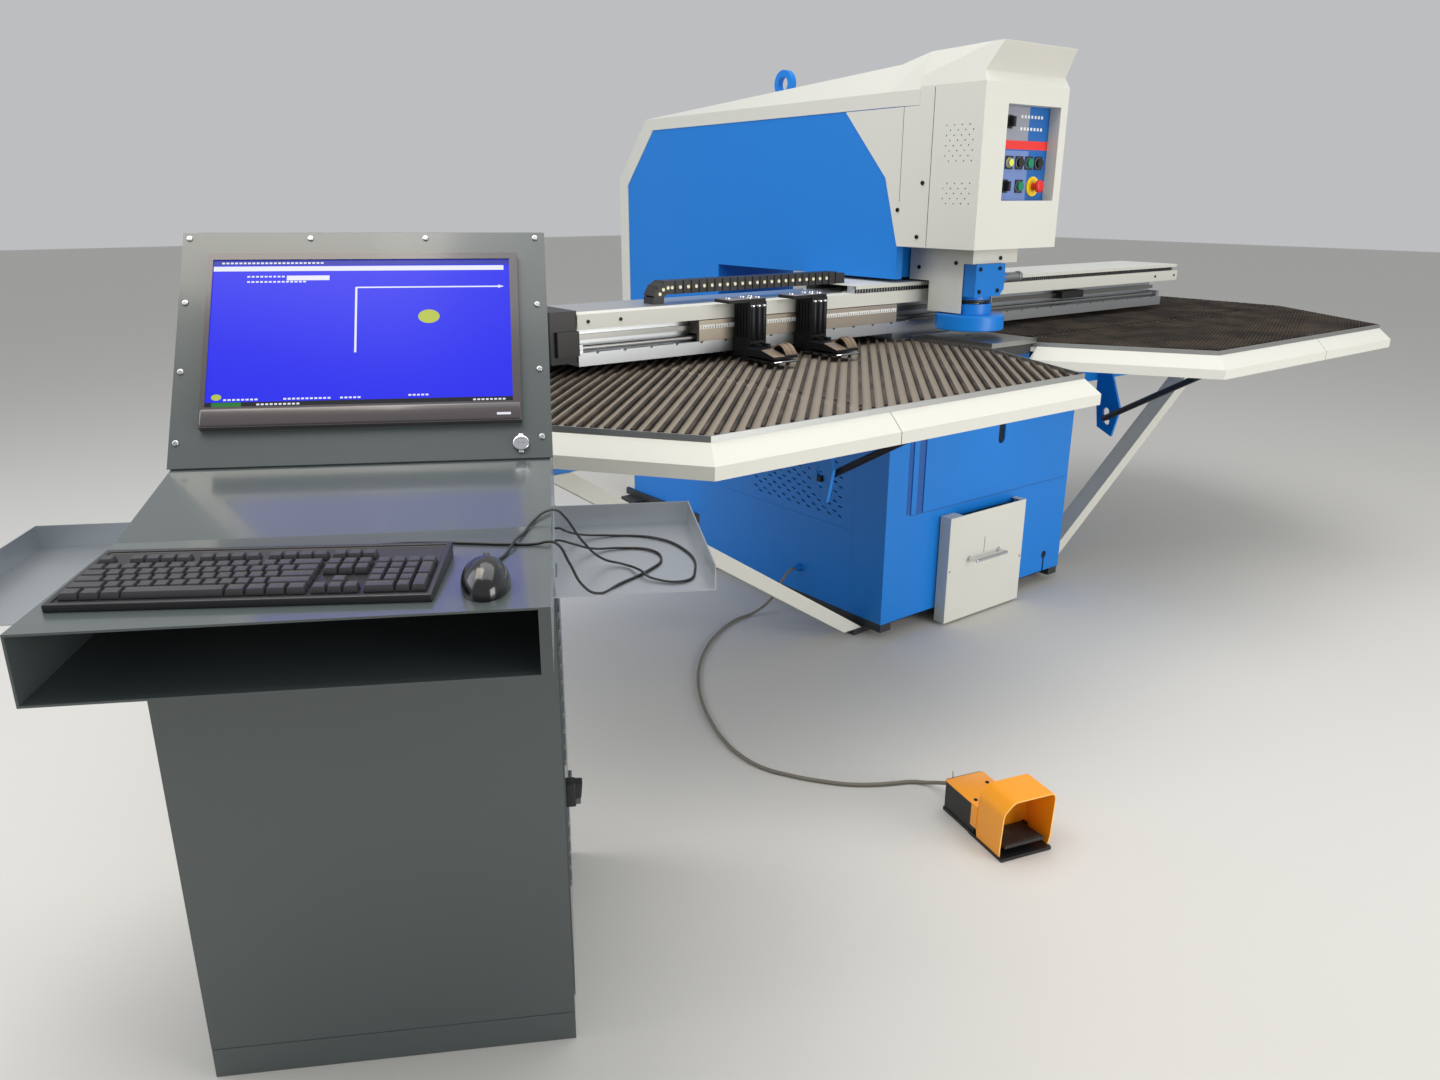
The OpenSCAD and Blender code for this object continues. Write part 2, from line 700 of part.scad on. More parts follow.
// A push button: stem in the plate, cap in front of it
module push_button(x, z, r, h) {
    translate([x, plate_y + 12, z]) rotate([90, 0, 0]) cylinder(r = 11, h = 12 + 4.5);
    translate([x, plate_y - 4.5, z]) rotate([90, 0, 0]) cylinder(r = r, h = h);
}
module button_black_left() color(BLACK) push_button(row_x[1], middle_row, 14, 8);
module button_green_upper() color("#1f9d5c") push_button(row_x[2], middle_row, 14, 8);
module button_black_right() color(BLACK) push_button(row_x[3], middle_row, 14, 8);
module button_green_lower() color("#1f7d5c") push_button(38, lower_row, 14, 8);

// A selector: round body with a grip bar
module selector(x, z) {
    translate([x, plate_y + 12, z]) rotate([90, 0, 0]) cylinder(r = 11, h = 12.3);
    translate([x, plate_y - 0.3, z]) rotate([90, 0, 0]) cylinder(r = 15, h = 9);
    block([x - 5, plate_y - 26, z - 15], [x + 5, plate_y - 9, z + 15]);
}
module selector_upper() color(BLACK) selector(-38, upper_row);
module selector_lower() color(BLACK) selector(-38, lower_row);

// Emergency stop mushroom
module e_stop_button() color("#d8262c") {
    translate([stop_x, plate_y + 14, lower_row]) rotate([90, 0, 0]) cylinder(r = 11, h = 14 + 18);
    translate([stop_x, plate_y - 16, lower_row]) rotate([90, 0, 0]) cylinder(r1 = 15, r2 = 20, h = 10);
    translate([stop_x, plate_y - 26, lower_row]) rotate([90, 0, 0]) cylinder(r1 = 20, r2 = 15, h = 9);
}

// Sheet cover round the ram guide, open in front
nose_w = 80;
nose_front = 25;
nose_back = 209;
nose_step_y = 119;
nose_step_z = lid_top + 6;
nose_low = 1044;
module nose_cover() color(CREAM) {
    difference() {
        along_x(-nose_w, nose_w) polygon([
            [-nose_front, nose_low], [nose_step_y, nose_low], [nose_step_y, nose_step_z],
            [nose_back, nose_step_z], [nose_back, head_plate_z], [-nose_front, head_plate_z]]);
        along_x(-nose_w + 2, nose_w - 2) polygon([
            [-nose_front - 1, nose_low - 1], [nose_step_y - 2, nose_low - 1],
            [nose_step_y - 2, nose_step_z + 2], [nose_back - 2, nose_step_z + 2],
            [nose_back - 2, head_plate_z + 1], [-nose_front - 1, head_plate_z + 1]]);
    }
    block([-nose_w, -62, housing_top + 1], [nose_w + 71, -60, head_low]);
    block([-nose_w, -62, housing_top + 1], [-nose_w + 2, -nose_front + eps, head_low]);
}

// Ram guide housing with its hose fitting
module ram_housing() color(BLUE) difference() {
    union() {
        translate([-housing_w / 2, -75, housing_low]) cube([housing_w, 50, housing_top - housing_low]);
        block([-73, -26, housing_low], [73, 75, housing_top]);
        block([-73, -58, housing_low + 10], [73, 75, head_plate_z]);
        translate([0, 0, housing_low - scraper_h]) cylinder(r = 62, h = scraper_h + 1);
        translate([housing_w / 2 - 1, -50, fitting_z]) rotate([0, 90, 0]) cylinder(r = 18, h = 30, $fn = 6);
        translate([housing_w / 2 + 28, -50, fitting_z]) rotate([0, 90, 0]) cylinder(r = 13, h = 84);
    }
    translate([0, 0, housing_low - 20]) cylinder(r = ram_r + ram_gap, h = head_plate_z - housing_low + 40);
    translate([housing_w / 2, -76, housing_low - 1]) rotate([0, 45, 0])
        translate([-16, 0, -16]) cube([32, 50, 32]);
}

// Hydraulic cylinder on the head plate
module ram_cylinder() color(DARK) difference() {
    base = head_plate_z + head_plate_t;
    union() {
        translate([0, 0, base]) cylinder(r = cylinder_r, h = cylinder_top - base);
        translate([0, 0, base]) cylinder(r = cylinder_r + 22, h = 25);
    }
    translate([0, 0, base - 1]) cylinder(r = ram_r + 1, h = ram_step_z + ram_step_clear - base + 1);
    translate([0, 0, base]) cylinder(r = rod_r + ram_gap, h = rod_top + 20 - base);
}

// Ram with its rod, and the bore for the tool spindle
module ram_slide() color(STEEL) difference() {
    union() {
        translate([0, 0, ram_bottom]) cylinder(r = ram_r, h = ram_step_z - ram_bottom);
        translate([0, 0, ram_step_z - 1]) cylinder(r = rod_r, h = rod_top - ram_step_z + 1);
    }
    translate([0, 0, ram_bottom - 1]) cylinder(r = spindle_r + ram_gap, h = spindle_h + 2);
}

// Tool disc that turns under the ram
module tool_disc() color(BLUE) difference() {
    union() {
        translate([0, 0, disc_low + 3]) cylinder(r = disc_r, h = disc_top - disc_low - 8);
        translate([0, 0, disc_low]) cylinder(r1 = disc_r - 3, r2 = disc_r, h = 3 + eps);
        translate([0, 0, disc_top - 5 - eps]) cylinder(r1 = disc_r, r2 = disc_r - 5, h = 5);
        translate([0, 0, disc_top - 1]) cylinder(r = disc_neck_r, h = ram_bottom - run - disc_top + 1);
        translate([0, 0, ram_bottom - 1]) cylinder(r = spindle_r, h = spindle_h);
    }
    translate([0, 0, disc_low - 1]) cylinder(r = punch_body_r + ram_gap, h = punch_body_h + 12);
}

// Punch carried in the tool disc
module punch() color(CHROME) {
    translate([0, 0, disc_low]) cylinder(r = punch_body_r, h = punch_body_h);
    translate([0, 0, punch_tip_z]) cylinder(r = punch_r, h = disc_low - punch_tip_z + 1);
}

// Die holder on the lower arm
module die_holder() color(DARK) difference() {
    block([-110, -180, arm_top], [110, 90, die_top - die_plate_t]);
    translate([0, 0, arm_top - 1]) cylinder(r = slug_r, h = 60);
    translate([0, 0, die_top - 36]) cylinder(r = die_disc_r + ram_gap, h = 40);
}

// Die disc that turns with the tool disc
module die_disc() color(STEEL) difference() {
    translate([0, 0, die_top - 36]) cylinder(r = die_disc_r, h = 36);
    translate([0, 0, die_top - 40]) cylinder(r = die_hole_r, h = 50);
    translate([0, 0, die_top - 37]) cylinder(r = die_hole_r + 3, h = 25);
}

// Ground plate round the die
module die_plate() color(STEEL) difference() {
    block([-die_plate_w / 2, -195, die_top - die_plate_t], [die_plate_w / 2, 100, die_top]);
    translate([0, 0, die_top - 30]) cylinder(r = die_disc_r + 0.3, h = 40);
}

// Corners of a left table's field, and the same with its inner side pulled out to be convex
notch_left = -320;
notch_right = 415;
table_in = 122;
throat_in = 215;
throat_in_y = 140;
table_in_y = -197;
deck_rib_x = [700, 1150, 1600];
function field(notch) = [
    [-table_in, throat_in_y], [-table_in, table_in_y], [-abs(notch), -table_front],
    [-table_corner_x, -table_front], [-table_x, -chamfer_end], [-table_x, table_rear],
    [-throat_in, table_rear], [-throat_in, throat_in_y]];
function hull_field(notch) = [
    [-table_in, table_in_y], [-abs(notch), -table_front], [-table_corner_x, -table_front],
    [-table_x, -chamfer_end], [-table_x, table_rear], [-table_in, table_rear]];

// The table's folded form, or its inside when inset is above zero
module table_form(notch, inset) hull() {
    translate([0, 0, deck_z - inset - eps]) linear_extrude(eps)
        offset(delta = -inset / 2) polygon(hull_field(notch));
    translate([0, 0, deck_z - fascia_drop - fascia_h - (inset > 0 ? 1 : 0)])
        linear_extrude(fascia_h - (inset > 0 ? inset / 2 - 1 : 0))
            offset(delta = fascia_out - inset) polygon(hull_field(notch));
}

// Table: deck and fascia folded from sheet, ribs under it
module table(notch) {
    difference() {
        table_form(notch, 0);
        table_form(notch, sheet_t);
        block([-table_in, table_in_y, 0], [throat_in, table_rear + 100, deck_z + 1]);
        block([-throat_in, throat_in_y, 0], [throat_in, table_rear + 100, deck_z + 1]);
    }
    block([-arm_end_x, -35, arm_high], [-half_base - 10, 35, deck_z - 1]);
    for (x = deck_rib_x)
        block([-x - 15, -table_front + 70, deck_z - 50], [-x + 15, table_rear - 40, deck_z - 1]);
}
module table_left() color(CREAM) table(notch_left);
module table_right() color(CREAM) mirror([1, 0, 0]) table(notch_right);

// Brush mat with slanted rows and the metal strip round the field
edging_h = 14;
edging_t = 4;
module brush_bed(notch, turn) {
    mat_t = 6;
    difference() {
        translate([0, 0, deck_z]) linear_extrude(edging_h) polygon(field(notch));
        translate([0, 0, deck_z + mat_t]) linear_extrude(edging_h)
            offset(delta = -edging_t) polygon(field(notch));
    }
    span = (table_x + table_front + table_rear) / sqrt(2);
    translate([0, 0, deck_z + mat_t - eps]) linear_extrude(brush_top - deck_z - mat_t + eps) intersection() {
        offset(delta = -edging_t - 3) polygon(field(notch));
        for (d = [-span * 1.1:brush_pitch:span * 0.4])
            rotate(turn) translate([-table_x * 1.6, d]) square([table_x * 2.6, brush_w]);
    }
}
module brush_bed_left() color(DARK) brush_bed(notch_left, 45);
module brush_bed_right() color(DARK) mirror([1, 0, 0]) brush_bed(notch_right, 135);

// Arms that carry the tables, each with its hanging bracket
module table_arm(s) mirror([s > 0 ? 1 : 0, 0, 0]) {
    difference() {
        block([-arm_end_x, -arm_half, arm_low], [-half_w, arm_half, arm_high]);
        block([-arm_end_x - 1, -arm_half + 6, arm_low + 6], [-half_w - 10, arm_half - 6, arm_high - 6]);
    }
    difference() {
        along_x(-bracket_x - bracket_t / 2, -bracket_x + bracket_t / 2)
            polygon([[-arm_half, arm_low + 30], [-arm_half, arm_low - 40], bracket_tip[0], bracket_tip[1],
                     bracket_tip[2], [bracket_root_y, arm_low + 30]]);
        hull() for (p = [[tie_slot[0], tie_slot[1] - 15], [tie_slot[0] + 6, tie_slot[1] + 25]])
            translate([-bracket_x - 10, p[0], p[1]]) rotate([0, 90, 0])
                cylinder(r = tie_r + 3, h = 20, $fn = 32);
    }
}
module table_arms() color(BLUE) for (s = [-1, 1]) table_arm(s);

// Channel braces from the sole plate up to the table arms
module brace(reach) {
    foot = [-brace_foot_x, sole_t];
    top = [-brace_foot_x - reach, arm_low];
    d = unit(top - foot);
    n = [-d[1], d[0]] * -1;
    translate([0, -10 - brace_w / 2, 0]) intersection() {
        difference() {
            rotate([90, 0, 0]) mirror([0, 0, 1]) linear_extrude(brace_w)
                polygon([foot - d * 100, top + d * 100,
                         top + d * 100 - n * brace_d, foot - d * 100 - n * brace_d]);
            translate([0, brace_t, 0]) rotate([90, 0, 0]) mirror([0, 0, 1]) linear_extrude(brace_w - 2 * brace_t)
                polygon([foot - d * 200 - n * brace_t, top + d * 200 - n * brace_t,
                         top + d * 200 - n * (brace_d + 9), foot - d * 200 - n * (brace_d + 9)]);
        }
        block([-arm_end_x - 100, -10, sole_t], [0, brace_w + 10, arm_low]);
    }
}
module braces() color(CREAM) {
    brace(brace_reach_left);
    mirror([1, 0, 0]) brace(brace_reach_right);
}

// Black stays from the brackets' slots forward to the tables
tie_ends = [[-730, -560], [470, -600]];
tie_top = 860;
module stay(a, b) {
    v = b - a;
    translate(a) rotate([0, acos(v[2] / norm(v)), atan2(v[1], v[0])]) cylinder(r = tie_r, h = norm(v));
    translate(b) sphere(r = tie_r);
    translate(a) sphere(r = tie_r);
}
module tie_rods() color(BLACK) {
    lug_z = deck_z - sheet_t;
    for (i = [0, 1]) {
        s = i == 0 ? -1 : 1;
        start = [s * (bracket_x - 20), tie_slot[0], tie_slot[1]];
        end = [tie_ends[i][0], tie_ends[i][1], tie_top];
        stay(start, end);
        translate(end) cylinder(r = tie_r, h = lug_z - tie_top);
        block([min(start[0], s * (bracket_x + 16)), start[1] - 8, start[2] - 8],
              [max(start[0], s * (bracket_x + 16)), start[1] + 8, start[2] + 8]);
    }
}

// Rails of the Y axis on the lower arm
module y_rails() color(STEEL)
    pair([rail_x - rail_w / 2, rail_y0, arm_top], [rail_x + rail_w / 2, rail_y1, arm_top + rail_h]);

// Beam with its saddle: bottom lip, hollow web, duct and lid rests
module beam_body() color(STEEL) {
    difference() {
        along_x(cap_x1, beam_x) polygon([
            [beam_y, beam_z], [beam_back, beam_z], [beam_back, beam_top], [web_y, beam_top],
            [web_y, beam_z + lip_h], [beam_y, beam_z + lip_h]]);
        along_x(cap_x1 + beam_wall, beam_x - beam_wall) polygon([
            [web_y + beam_wall, beam_z + beam_wall], [beam_back - beam_wall, beam_z + beam_wall],
            [beam_back - beam_wall, beam_top - beam_wall], [web_y + beam_wall, beam_top - beam_wall]]);
        for (x = [cap_x1 + 60:lip_hole_pitch:beam_x - 30]) translate([x, beam_y - 1, beam_z + lip_h + 1])
            rotate([-90, 0, 0]) cylinder(r = 6, h = 14, $fn = 24);
    }
    block([lid_x0, beam_y + 15, beam_top], [lid_x1 - 5, beam_y + 45, lid_top - sheet_t]);
    block([lid_x0, beam_y + 44, beam_top], [beam_x, web_y + beam_wall, beam_top + 4]);
    block([lid_x0, web_y, beam_top - eps], [beam_x, web_y + beam_wall, beam_top + 4]);
    block([lid_x0, beam_back - 15, beam_top - eps], [beam_x, beam_back, lid_top - sheet_t]);
    for (x = [cap_x1, beam_x - 20])
        block([x, beam_y + 10, beam_z + lip_h - eps], [x + 20, web_y + eps, beam_z + lip_h + 22]);
    difference() {
        block([-saddle_w / 2, saddle_y0, arm_top + rail_h / 2],
              [saddle_w / 2, saddle_y0 + saddle_d, beam_z + eps]);
        pair([rail_x - rail_w / 2 - run, saddle_y0 - 1, arm_top],
             [rail_x + rail_w / 2 + run, saddle_y0 + saddle_d + 1, arm_top + rail_h + run]);
        block([-rail_x + 40, saddle_y0 - 1, arm_top], [rail_x - 40, saddle_y0 + saddle_d + 1, beam_z - 16]);
    }
}

// Painted covers of the beam: strip along its front, and the lid, deeper where it runs into the throat
module beam_covers() color(CREAM) {
    block([cover_x0, beam_y, cover_low], [cover_x1, beam_y + 3, beam_top]);
    block([cover_x0, beam_y, beam_top - 3], [cover_x1, web_y, beam_top]);
    block([lid_x0, beam_y + 2, lid_top - sheet_t], [lid_x1, beam_back + 15, lid_top]);
    block([lid_x0, beam_y + 2, lid_low], [lid_x1, beam_y + 5, lid_top]);
    block([lid_x0, beam_y + 2, lid_top - sheet_t], [-lid_x0, lid_back, lid_top]);
    block([lid_x0, lid_back - 3, lid_low], [-lid_x0, lid_back, lid_top]);
}

// Linear rail and round guide bar in the beam's front channel
module x_rail() color(STEEL) {
    block([cap_x1 + 1, web_y - x_rail_d, x_rail_z], [beam_x - 5, web_y, x_rail_z + x_rail_h]);
    translate([cap_x1 + 20, guide_bar_y, guide_bar_z]) rotate([0, 90, 0])
        cylinder(r = guide_bar_r, h = beam_x - cap_x1 - 40);
}

// Black drive housing at the beam's left end, and the stop block on the rail
module beam_end_cap() color(BLACK) {
    block([cap_x0, beam_y + 5, beam_z + 10], [cap_x1, beam_back, beam_top + 10]);
    block([cap_x0 + 15, beam_y - 7, beam_z + 30], [cap_x1, beam_y + 6, cover_low - 2]);
    difference() {
        block([rail_stop[0], web_y - 45, x_rail_z - 6], [rail_stop[1], web_y, x_rail_z + x_rail_h + 8]);
        block([rail_stop[0] - 1, web_y - x_rail_d, x_rail_z],
              [rail_stop[1] + 1, web_y + 1, x_rail_z + x_rail_h]);
    }
}

// Energy chain: links up from the foot, round the bend and along to the end bracket
chain_w = 50;
chain_h = 39;
chain_y = 262;
chain_pitch = 30;
chain_foot_x = -1126;
chain_bend_r = 34;
chain_z = lid_top + chain_h / 2;
chain_end_x = -392;
module chain_link() translate([-chain_pitch / 2 - 1, chain_y, -chain_h / 2]) difference() {
    cube([chain_pitch + 2, chain_w, chain_h]);
    for (y = [-1, chain_w - 3]) translate([chain_pitch - 6, y, -1]) cube([5, 4, chain_h + 2]);
}
module energy_chain() color(BLACK) {
    bend = [chain_foot_x + chain_bend_r + chain_h / 2, chain_z - chain_bend_r];
    for (a = [30:30:90]) translate([bend[0] - chain_bend_r * cos(a), 0, bend[1] + chain_bend_r * sin(a)])
        rotate([0, a - 90, 0]) chain_link();
    translate([bend[0] - chain_bend_r - chain_h / 2, chain_y, beam_top])
        cube([chain_h, chain_w, bend[1] + 8 - beam_top]);
    for (x = [bend[0] + chain_pitch / 2:chain_pitch:chain_end_x]) translate([x, 0, chain_z]) chain_link();
    block([chain_end_x, chain_y + 4, lid_top],
          [chain_end_x + 52, chain_y + chain_w - 4, lid_top + chain_h - 6]);
}

// Clamp carriage: ruled bar with its blocks round the rail
module carriage_bar() color(STEEL) {
    block([bar_x0, bar_y, bar_low], [bar_x1, bar_y + bar_t, bar_top]);
    for (x = slider_x) difference() {
        block([x, bar_y + bar_t - eps, x_rail_z - 10], [x + slider_w, web_y - 4, x_rail_z + x_rail_h + 12]);
        block([x - 1, web_y - x_rail_d - run, x_rail_z - run],
              [x + slider_w + 1, web_y, x_rail_z + x_rail_h + run]);
    }
}

// Clamp body with its top plate, hinge ears and lower jaw
module clamp(x) difference() {
    union() {
        block([x - clamp_w / 2, clamp_y0, lower_jaw_low], [x + clamp_w / 2, bar_y - run, clamp_top]);
        block([x + clamp_w / 2 - clamp_plate_w, clamp_y0 + 4, clamp_top - 1],
              [x + clamp_w / 2, bar_y - run, clamp_top + 8]);
        block([x - jaw_w / 2 - jaw_shift, jaw_y0, lower_jaw_low],
              [x + jaw_w / 2 - jaw_shift, clamp_y0 + 1, lower_jaw_low + lower_jaw_t]);
        for (e = ear_x) block([x + e, jaw_hinge_y - ear_w, lower_jaw_low + 1],
                              [x + e + ear_w, clamp_y0 + 1, jaw_hinge_z + 14]);
    }
    translate([x - 40, jaw_hinge_y, jaw_hinge_z])
        rotate([0, 90, 0]) cylinder(r = hinge_pin_r + pin_gap, h = 80);
    for (y = [clamp_y0 + 12:14:bar_y - 14])
        block([x - clamp_w / 2 - 1, y, jaw_hinge_z + 30], [x - clamp_w / 2 + 2, y + 6, clamp_top - 16]);
}
module clamp_left() color(BLACK) clamp(clamp_left_x);
module clamp_right() color(BLACK) clamp(clamp_right_x);

// Upper jaw with its hinge pin
module jaw(x) {
    difference() {
        block([x - jaw_w / 2 - jaw_shift + 1, jaw_y0 + 2, jaw_low],
              [x + jaw_w / 2 - jaw_shift - 1, clamp_y0 - 5, jaw_low + jaw_h]);
        for (e = ear_x) block([x + e - 1, jaw_hinge_y - ear_w - 5, jaw_low - 1],
                              [x + e + ear_w + 1, clamp_y0, jaw_low + jaw_h + 1]);
        along_x(x - jaw_w, x + jaw_w) polygon([
            [jaw_y0, jaw_low + jaw_h + 1], [jaw_y0, jaw_low + 7], [jaw_y0 + 2, jaw_low + 7],
            [jaw_y0 + 60, jaw_low + jaw_h + 1]]);
        for (i = [0:4]) translate([x - jaw_w / 2 - 4 + i * 16, 0, jaw_low + jaw_h])
            block([0, jaw_y0 + 20, -8], [7, jaw_hinge_y - 25, 1]);
    }
    translate([x - 30, jaw_hinge_y, jaw_hinge_z]) rotate([0, 90, 0]) cylinder(r = hinge_pin_r, h = 58);
}
module jaw_left() color(DARK) jaw(clamp_left_x);
module jaw_right() color(DARK) jaw(clamp_right_x);

// Console cabinet: folded sheet box with a plinth, open to the right for the door
shelf_z = desk_z - 3 - shelf_h;
module cabinet_box() difference() {
    block([0, 0, 0], [console_w, console_d, shelf_z]);
    block([wall, wall, wall], [console_w - wall, console_d - wall, shelf_z + 1]);
    block([console_w - wall - 1, door_y0 + 15, door_z0 + 15], [console_w + 1, door_y1 - 15, door_z1 - 15]);
    difference() {
        block([-1, -1, plinth_h - 2], [console_w + 1, console_d + 1, plinth_h]);
        block([1, 1, plinth_h - 8], [console_w - 1, console_d - 1, plinth_h + 2]);
    }
}

// Knuckles of the door's two hinges: the door's below, the cabinet's with the pin above
module knuckles(low, r) for (z = hinge_z) translate([hinge_axis[0], hinge_axis[1], z + low])
    cylinder(r = r, h = knuckle_h);
module console_cabinet() color(CONSOLE_GREY) at_console() {
    cabinet_box();
    knuckles(knuckle_h + run, knuckle_r);
    for (z = hinge_z) {
        translate([hinge_axis[0], hinge_axis[1], z - 2]) cylinder(r = knuckle_pin_r, h = knuckle_h + 4);
        block([console_w - 1, hinge_axis[1], z + knuckle_h + run],
              [hinge_axis[0], hinge_axis[1] + knuckle_r, z + 2 * knuckle_h + run]);
    }
}

// Side door of the console with its latch
module console_door() color(CONSOLE_GREY) at_console() difference() {
    union() {
        block([console_w + run, door_y0, door_z0], [console_w + run + 2, door_y1, door_z1]);
        block([console_w + run + 1, door_y0 + 5, latch_z[0]], [console_w + 26, door_y0 + 21, latch_z[1]]);
        knuckles(0, knuckle_r);
    }
    for (z = hinge_z) translate([hinge_axis[0], hinge_axis[1], z]) {
        translate([0, 0, -1]) cylinder(r = knuckle_pin_r + pin_gap, h = knuckle_h + 2);
        translate([0, 0, knuckle_h]) cylinder(r = knuckle_r + 1, h = knuckle_h + 2 * run);
    }
}

// Desk with its open shelf, and the hood behind the sloping panel
desk_bend = 11;
module console_desk() color(CONSOLE_GREY) at_console() {
    outer = [[-desk_reach, shelf_z], [-desk_reach, desk_z], [-desk_bend, desk_z], [panel_y0, panel_z0 - 1],
             [panel_y1, console_h], [console_d, console_h], [console_d, shelf_z]];
    inner = [[-desk_bend, desk_z - wall], [panel_y0 + 1, panel_z0 - 4], [panel_y1 + 2, console_h - wall],
             [console_d - wall, console_h - wall], [console_d - wall, shelf_z + wall],
             [-desk_bend, shelf_z + wall]];
    difference() {
        along_x(0, console_w) polygon(outer);
        along_x(wall, console_w - wall) polygon(inner);
        block([wall, -desk_reach - 1, shelf_z + wall], [console_w - 15, -desk_bend - wall, desk_z - wall]);
        on_panel() block([monitor_box[0][0] - 3, monitor_box[0][1] - 9, -30],
                         [monitor_box[1][0] + 14, monitor_box[1][1] + 9, 30]);
    }
}

// Sloping panel, with the cam lock fused to it
panel_t = 3;
panel_w = console_w + 2 * panel_over;
monitor_box = [[48, 64], [panel_w - 49, panel_len - 49]];
monitor_rim = 8;
module on_panel() translate([-panel_over, panel_y0, panel_z0]) rotate([panel_tilt, 0, 0]) children();
module monitor_block(inset, z0, z1) block([monitor_box[0][0] + inset, monitor_box[0][1] + inset, z0],
                                          [monitor_box[1][0] - inset, monitor_box[1][1] - inset, z1]);
module console_panel() color(CONSOLE_GREY) at_console() on_panel() {
    difference() {
        block([0, 0, 0], [panel_w, panel_len, panel_t]);
        monitor_block(monitor_rim, -1, panel_t + 1);
    }
    translate([panel_w - 52, 26, panel_t - eps]) cylinder(r = 12, h = 3);
}

// Flat monitor set into the panel
bezel_h = 14;
monitor_back = 28;
screen_edge = [[8, 36], [14, 12]];
module monitor() color(BLACK) at_console() on_panel() difference() {
    union() {
        monitor_block(0, panel_t, panel_t + bezel_h);
        monitor_block(monitor_rim + run, -monitor_back, panel_t + 1);
    }
    block([monitor_box[0][0] + screen_edge[0][0], monitor_box[0][1] + screen_edge[0][1], panel_t + bezel_h - 3],
          [monitor_box[1][0] - screen_edge[1][0], monitor_box[1][1] - screen_edge[1][1], panel_t + bezel_h + 1]);
}

// Folded trays at both sides of the console
module tray() union() {
    difference() {
        block([0, tray_y[0], tray_z], [tray_w, tray_y[1], tray_z + tray_rim]);
        block([-1, tray_y[0] - 1, tray_z + tray_sheet],
              [tray_w - tray_sheet, tray_y[1] - tray_sheet, tray_z + tray_rim + 1]);
    }
    block([0, tray_y[0] + 20, tray_z + 1], [tray_sheet, tray_y[1], tray_z + tray_rim]);
}
module console_trays() color(STEEL) at_console() {
    translate([console_w, 0, 0]) tray();
    mirror([1, 0, 0]) tray();
}

// Keyboard: sloped case with key rows
key_pitch = 19;
key_slope = 0.058;
key_outline = [[0, 0], [16, 0], [14, 7], [3, 7]];
module keyboard() color(BLACK) at_console()
    translate([keyboard_place[0], keyboard_place[1], desk_z]) rotate([0, 0, keyboard_turn])
    translate([-keyboard_size[0] / 2, -keyboard_size[1] / 2, 0]) {
        along_x(0, keyboard_size[0]) polygon([[0, 0], [keyboard_size[1], 0], [keyboard_size[1], 20], [0, 10]]);
        for (row = [0, 1, 2, 3, 4, 6.2]) along_x(12, keyboard_size[0] - 12)
            translate([24 + row * key_pitch, 11 + row * key_pitch * key_slope]) polygon(key_outline);
    }

// Mouse: rounded shell with the boot of its cord
module mouse() color(BLACK) at_console() translate([mouse_place[0], mouse_place[1], desk_z]) {
    intersection() {
        translate([0, 0, -4]) hull() {
            translate([0, -22, 0]) resize([mouse_size[0], 66, 2 * mouse_size[2]]) sphere(r = 30, $fn = 24);
            translate([0, 20, 0]) resize([mouse_size[0] - 8, 72, 1.5 * mouse_size[2]]) sphere(r = 30, $fn = 24);
        }
        block([-mouse_size[0], -mouse_size[1], 0], mouse_size);
    }
    translate([0, mouse_boot_y - 12, mouse_boot_z]) rotate([-90, 0, 0]) cylinder(r = 3.4, h = 12);
}

module keyboard_cord() color(BLACK) at_console() tube(keyboard_cord_points, small_cord_r, 8);
module mouse_cord() color(BLACK) at_console() tube(mouse_cord_points, small_cord_r, 8);

// Foot pedal: black base with the switch body and the treadle
pedal_cover_w = 106;
hood_d = 96;
lid_z = 84;
sheet_p = 3;
module pedal_base() color(BLACK) at_pedal() {
    block([2, 0, 0], [pedal_w - 2, hood_d + 30, 8]);
    block([4, 84, 0], [pedal_cover_w - 2, pedal_l, 8]);
    block([6, 110, 7], [pedal_cover_w - 4, pedal_l - 2, lid_z]);
    translate([pedal_gland_x, pedal_l - 2, pedal_gland_z]) rotate([-90, 0, 0])
        cylinder(r1 = 12, r2 = 7, h = pedal_gland_l + 2);
    for (x = [8, pedal_w - 18]) difference() {
        block([x, treadle_pivot[0] - 9, 7], [x + 6, treadle_pivot[0] + 5, treadle_pivot[1] + 8]);
        translate([x - 1, treadle_pivot[0], treadle_pivot[1]]) rotate([0, 90, 0])
            cylinder(r = treadle_pin_r + pin_gap, h = 8);
    }
}

// Treadle hinged at its rear, its front edge raised
treadle_pivot = [84, 20];
treadle_pin_r = 4;
treadle_rise = 7;
module pedal_treadle() color(BLACK) at_pedal() {
    translate([0, treadle_pivot[0], treadle_pivot[1]]) rotate([-treadle_rise, 0, 0])
        block([16, -76, -3], [pedal_w - 20, 5, 5]);
    translate([8, treadle_pivot[0], treadle_pivot[1]]) rotate([0, 90, 0])
        cylinder(r = treadle_pin_r, h = pedal_w - 20);
}

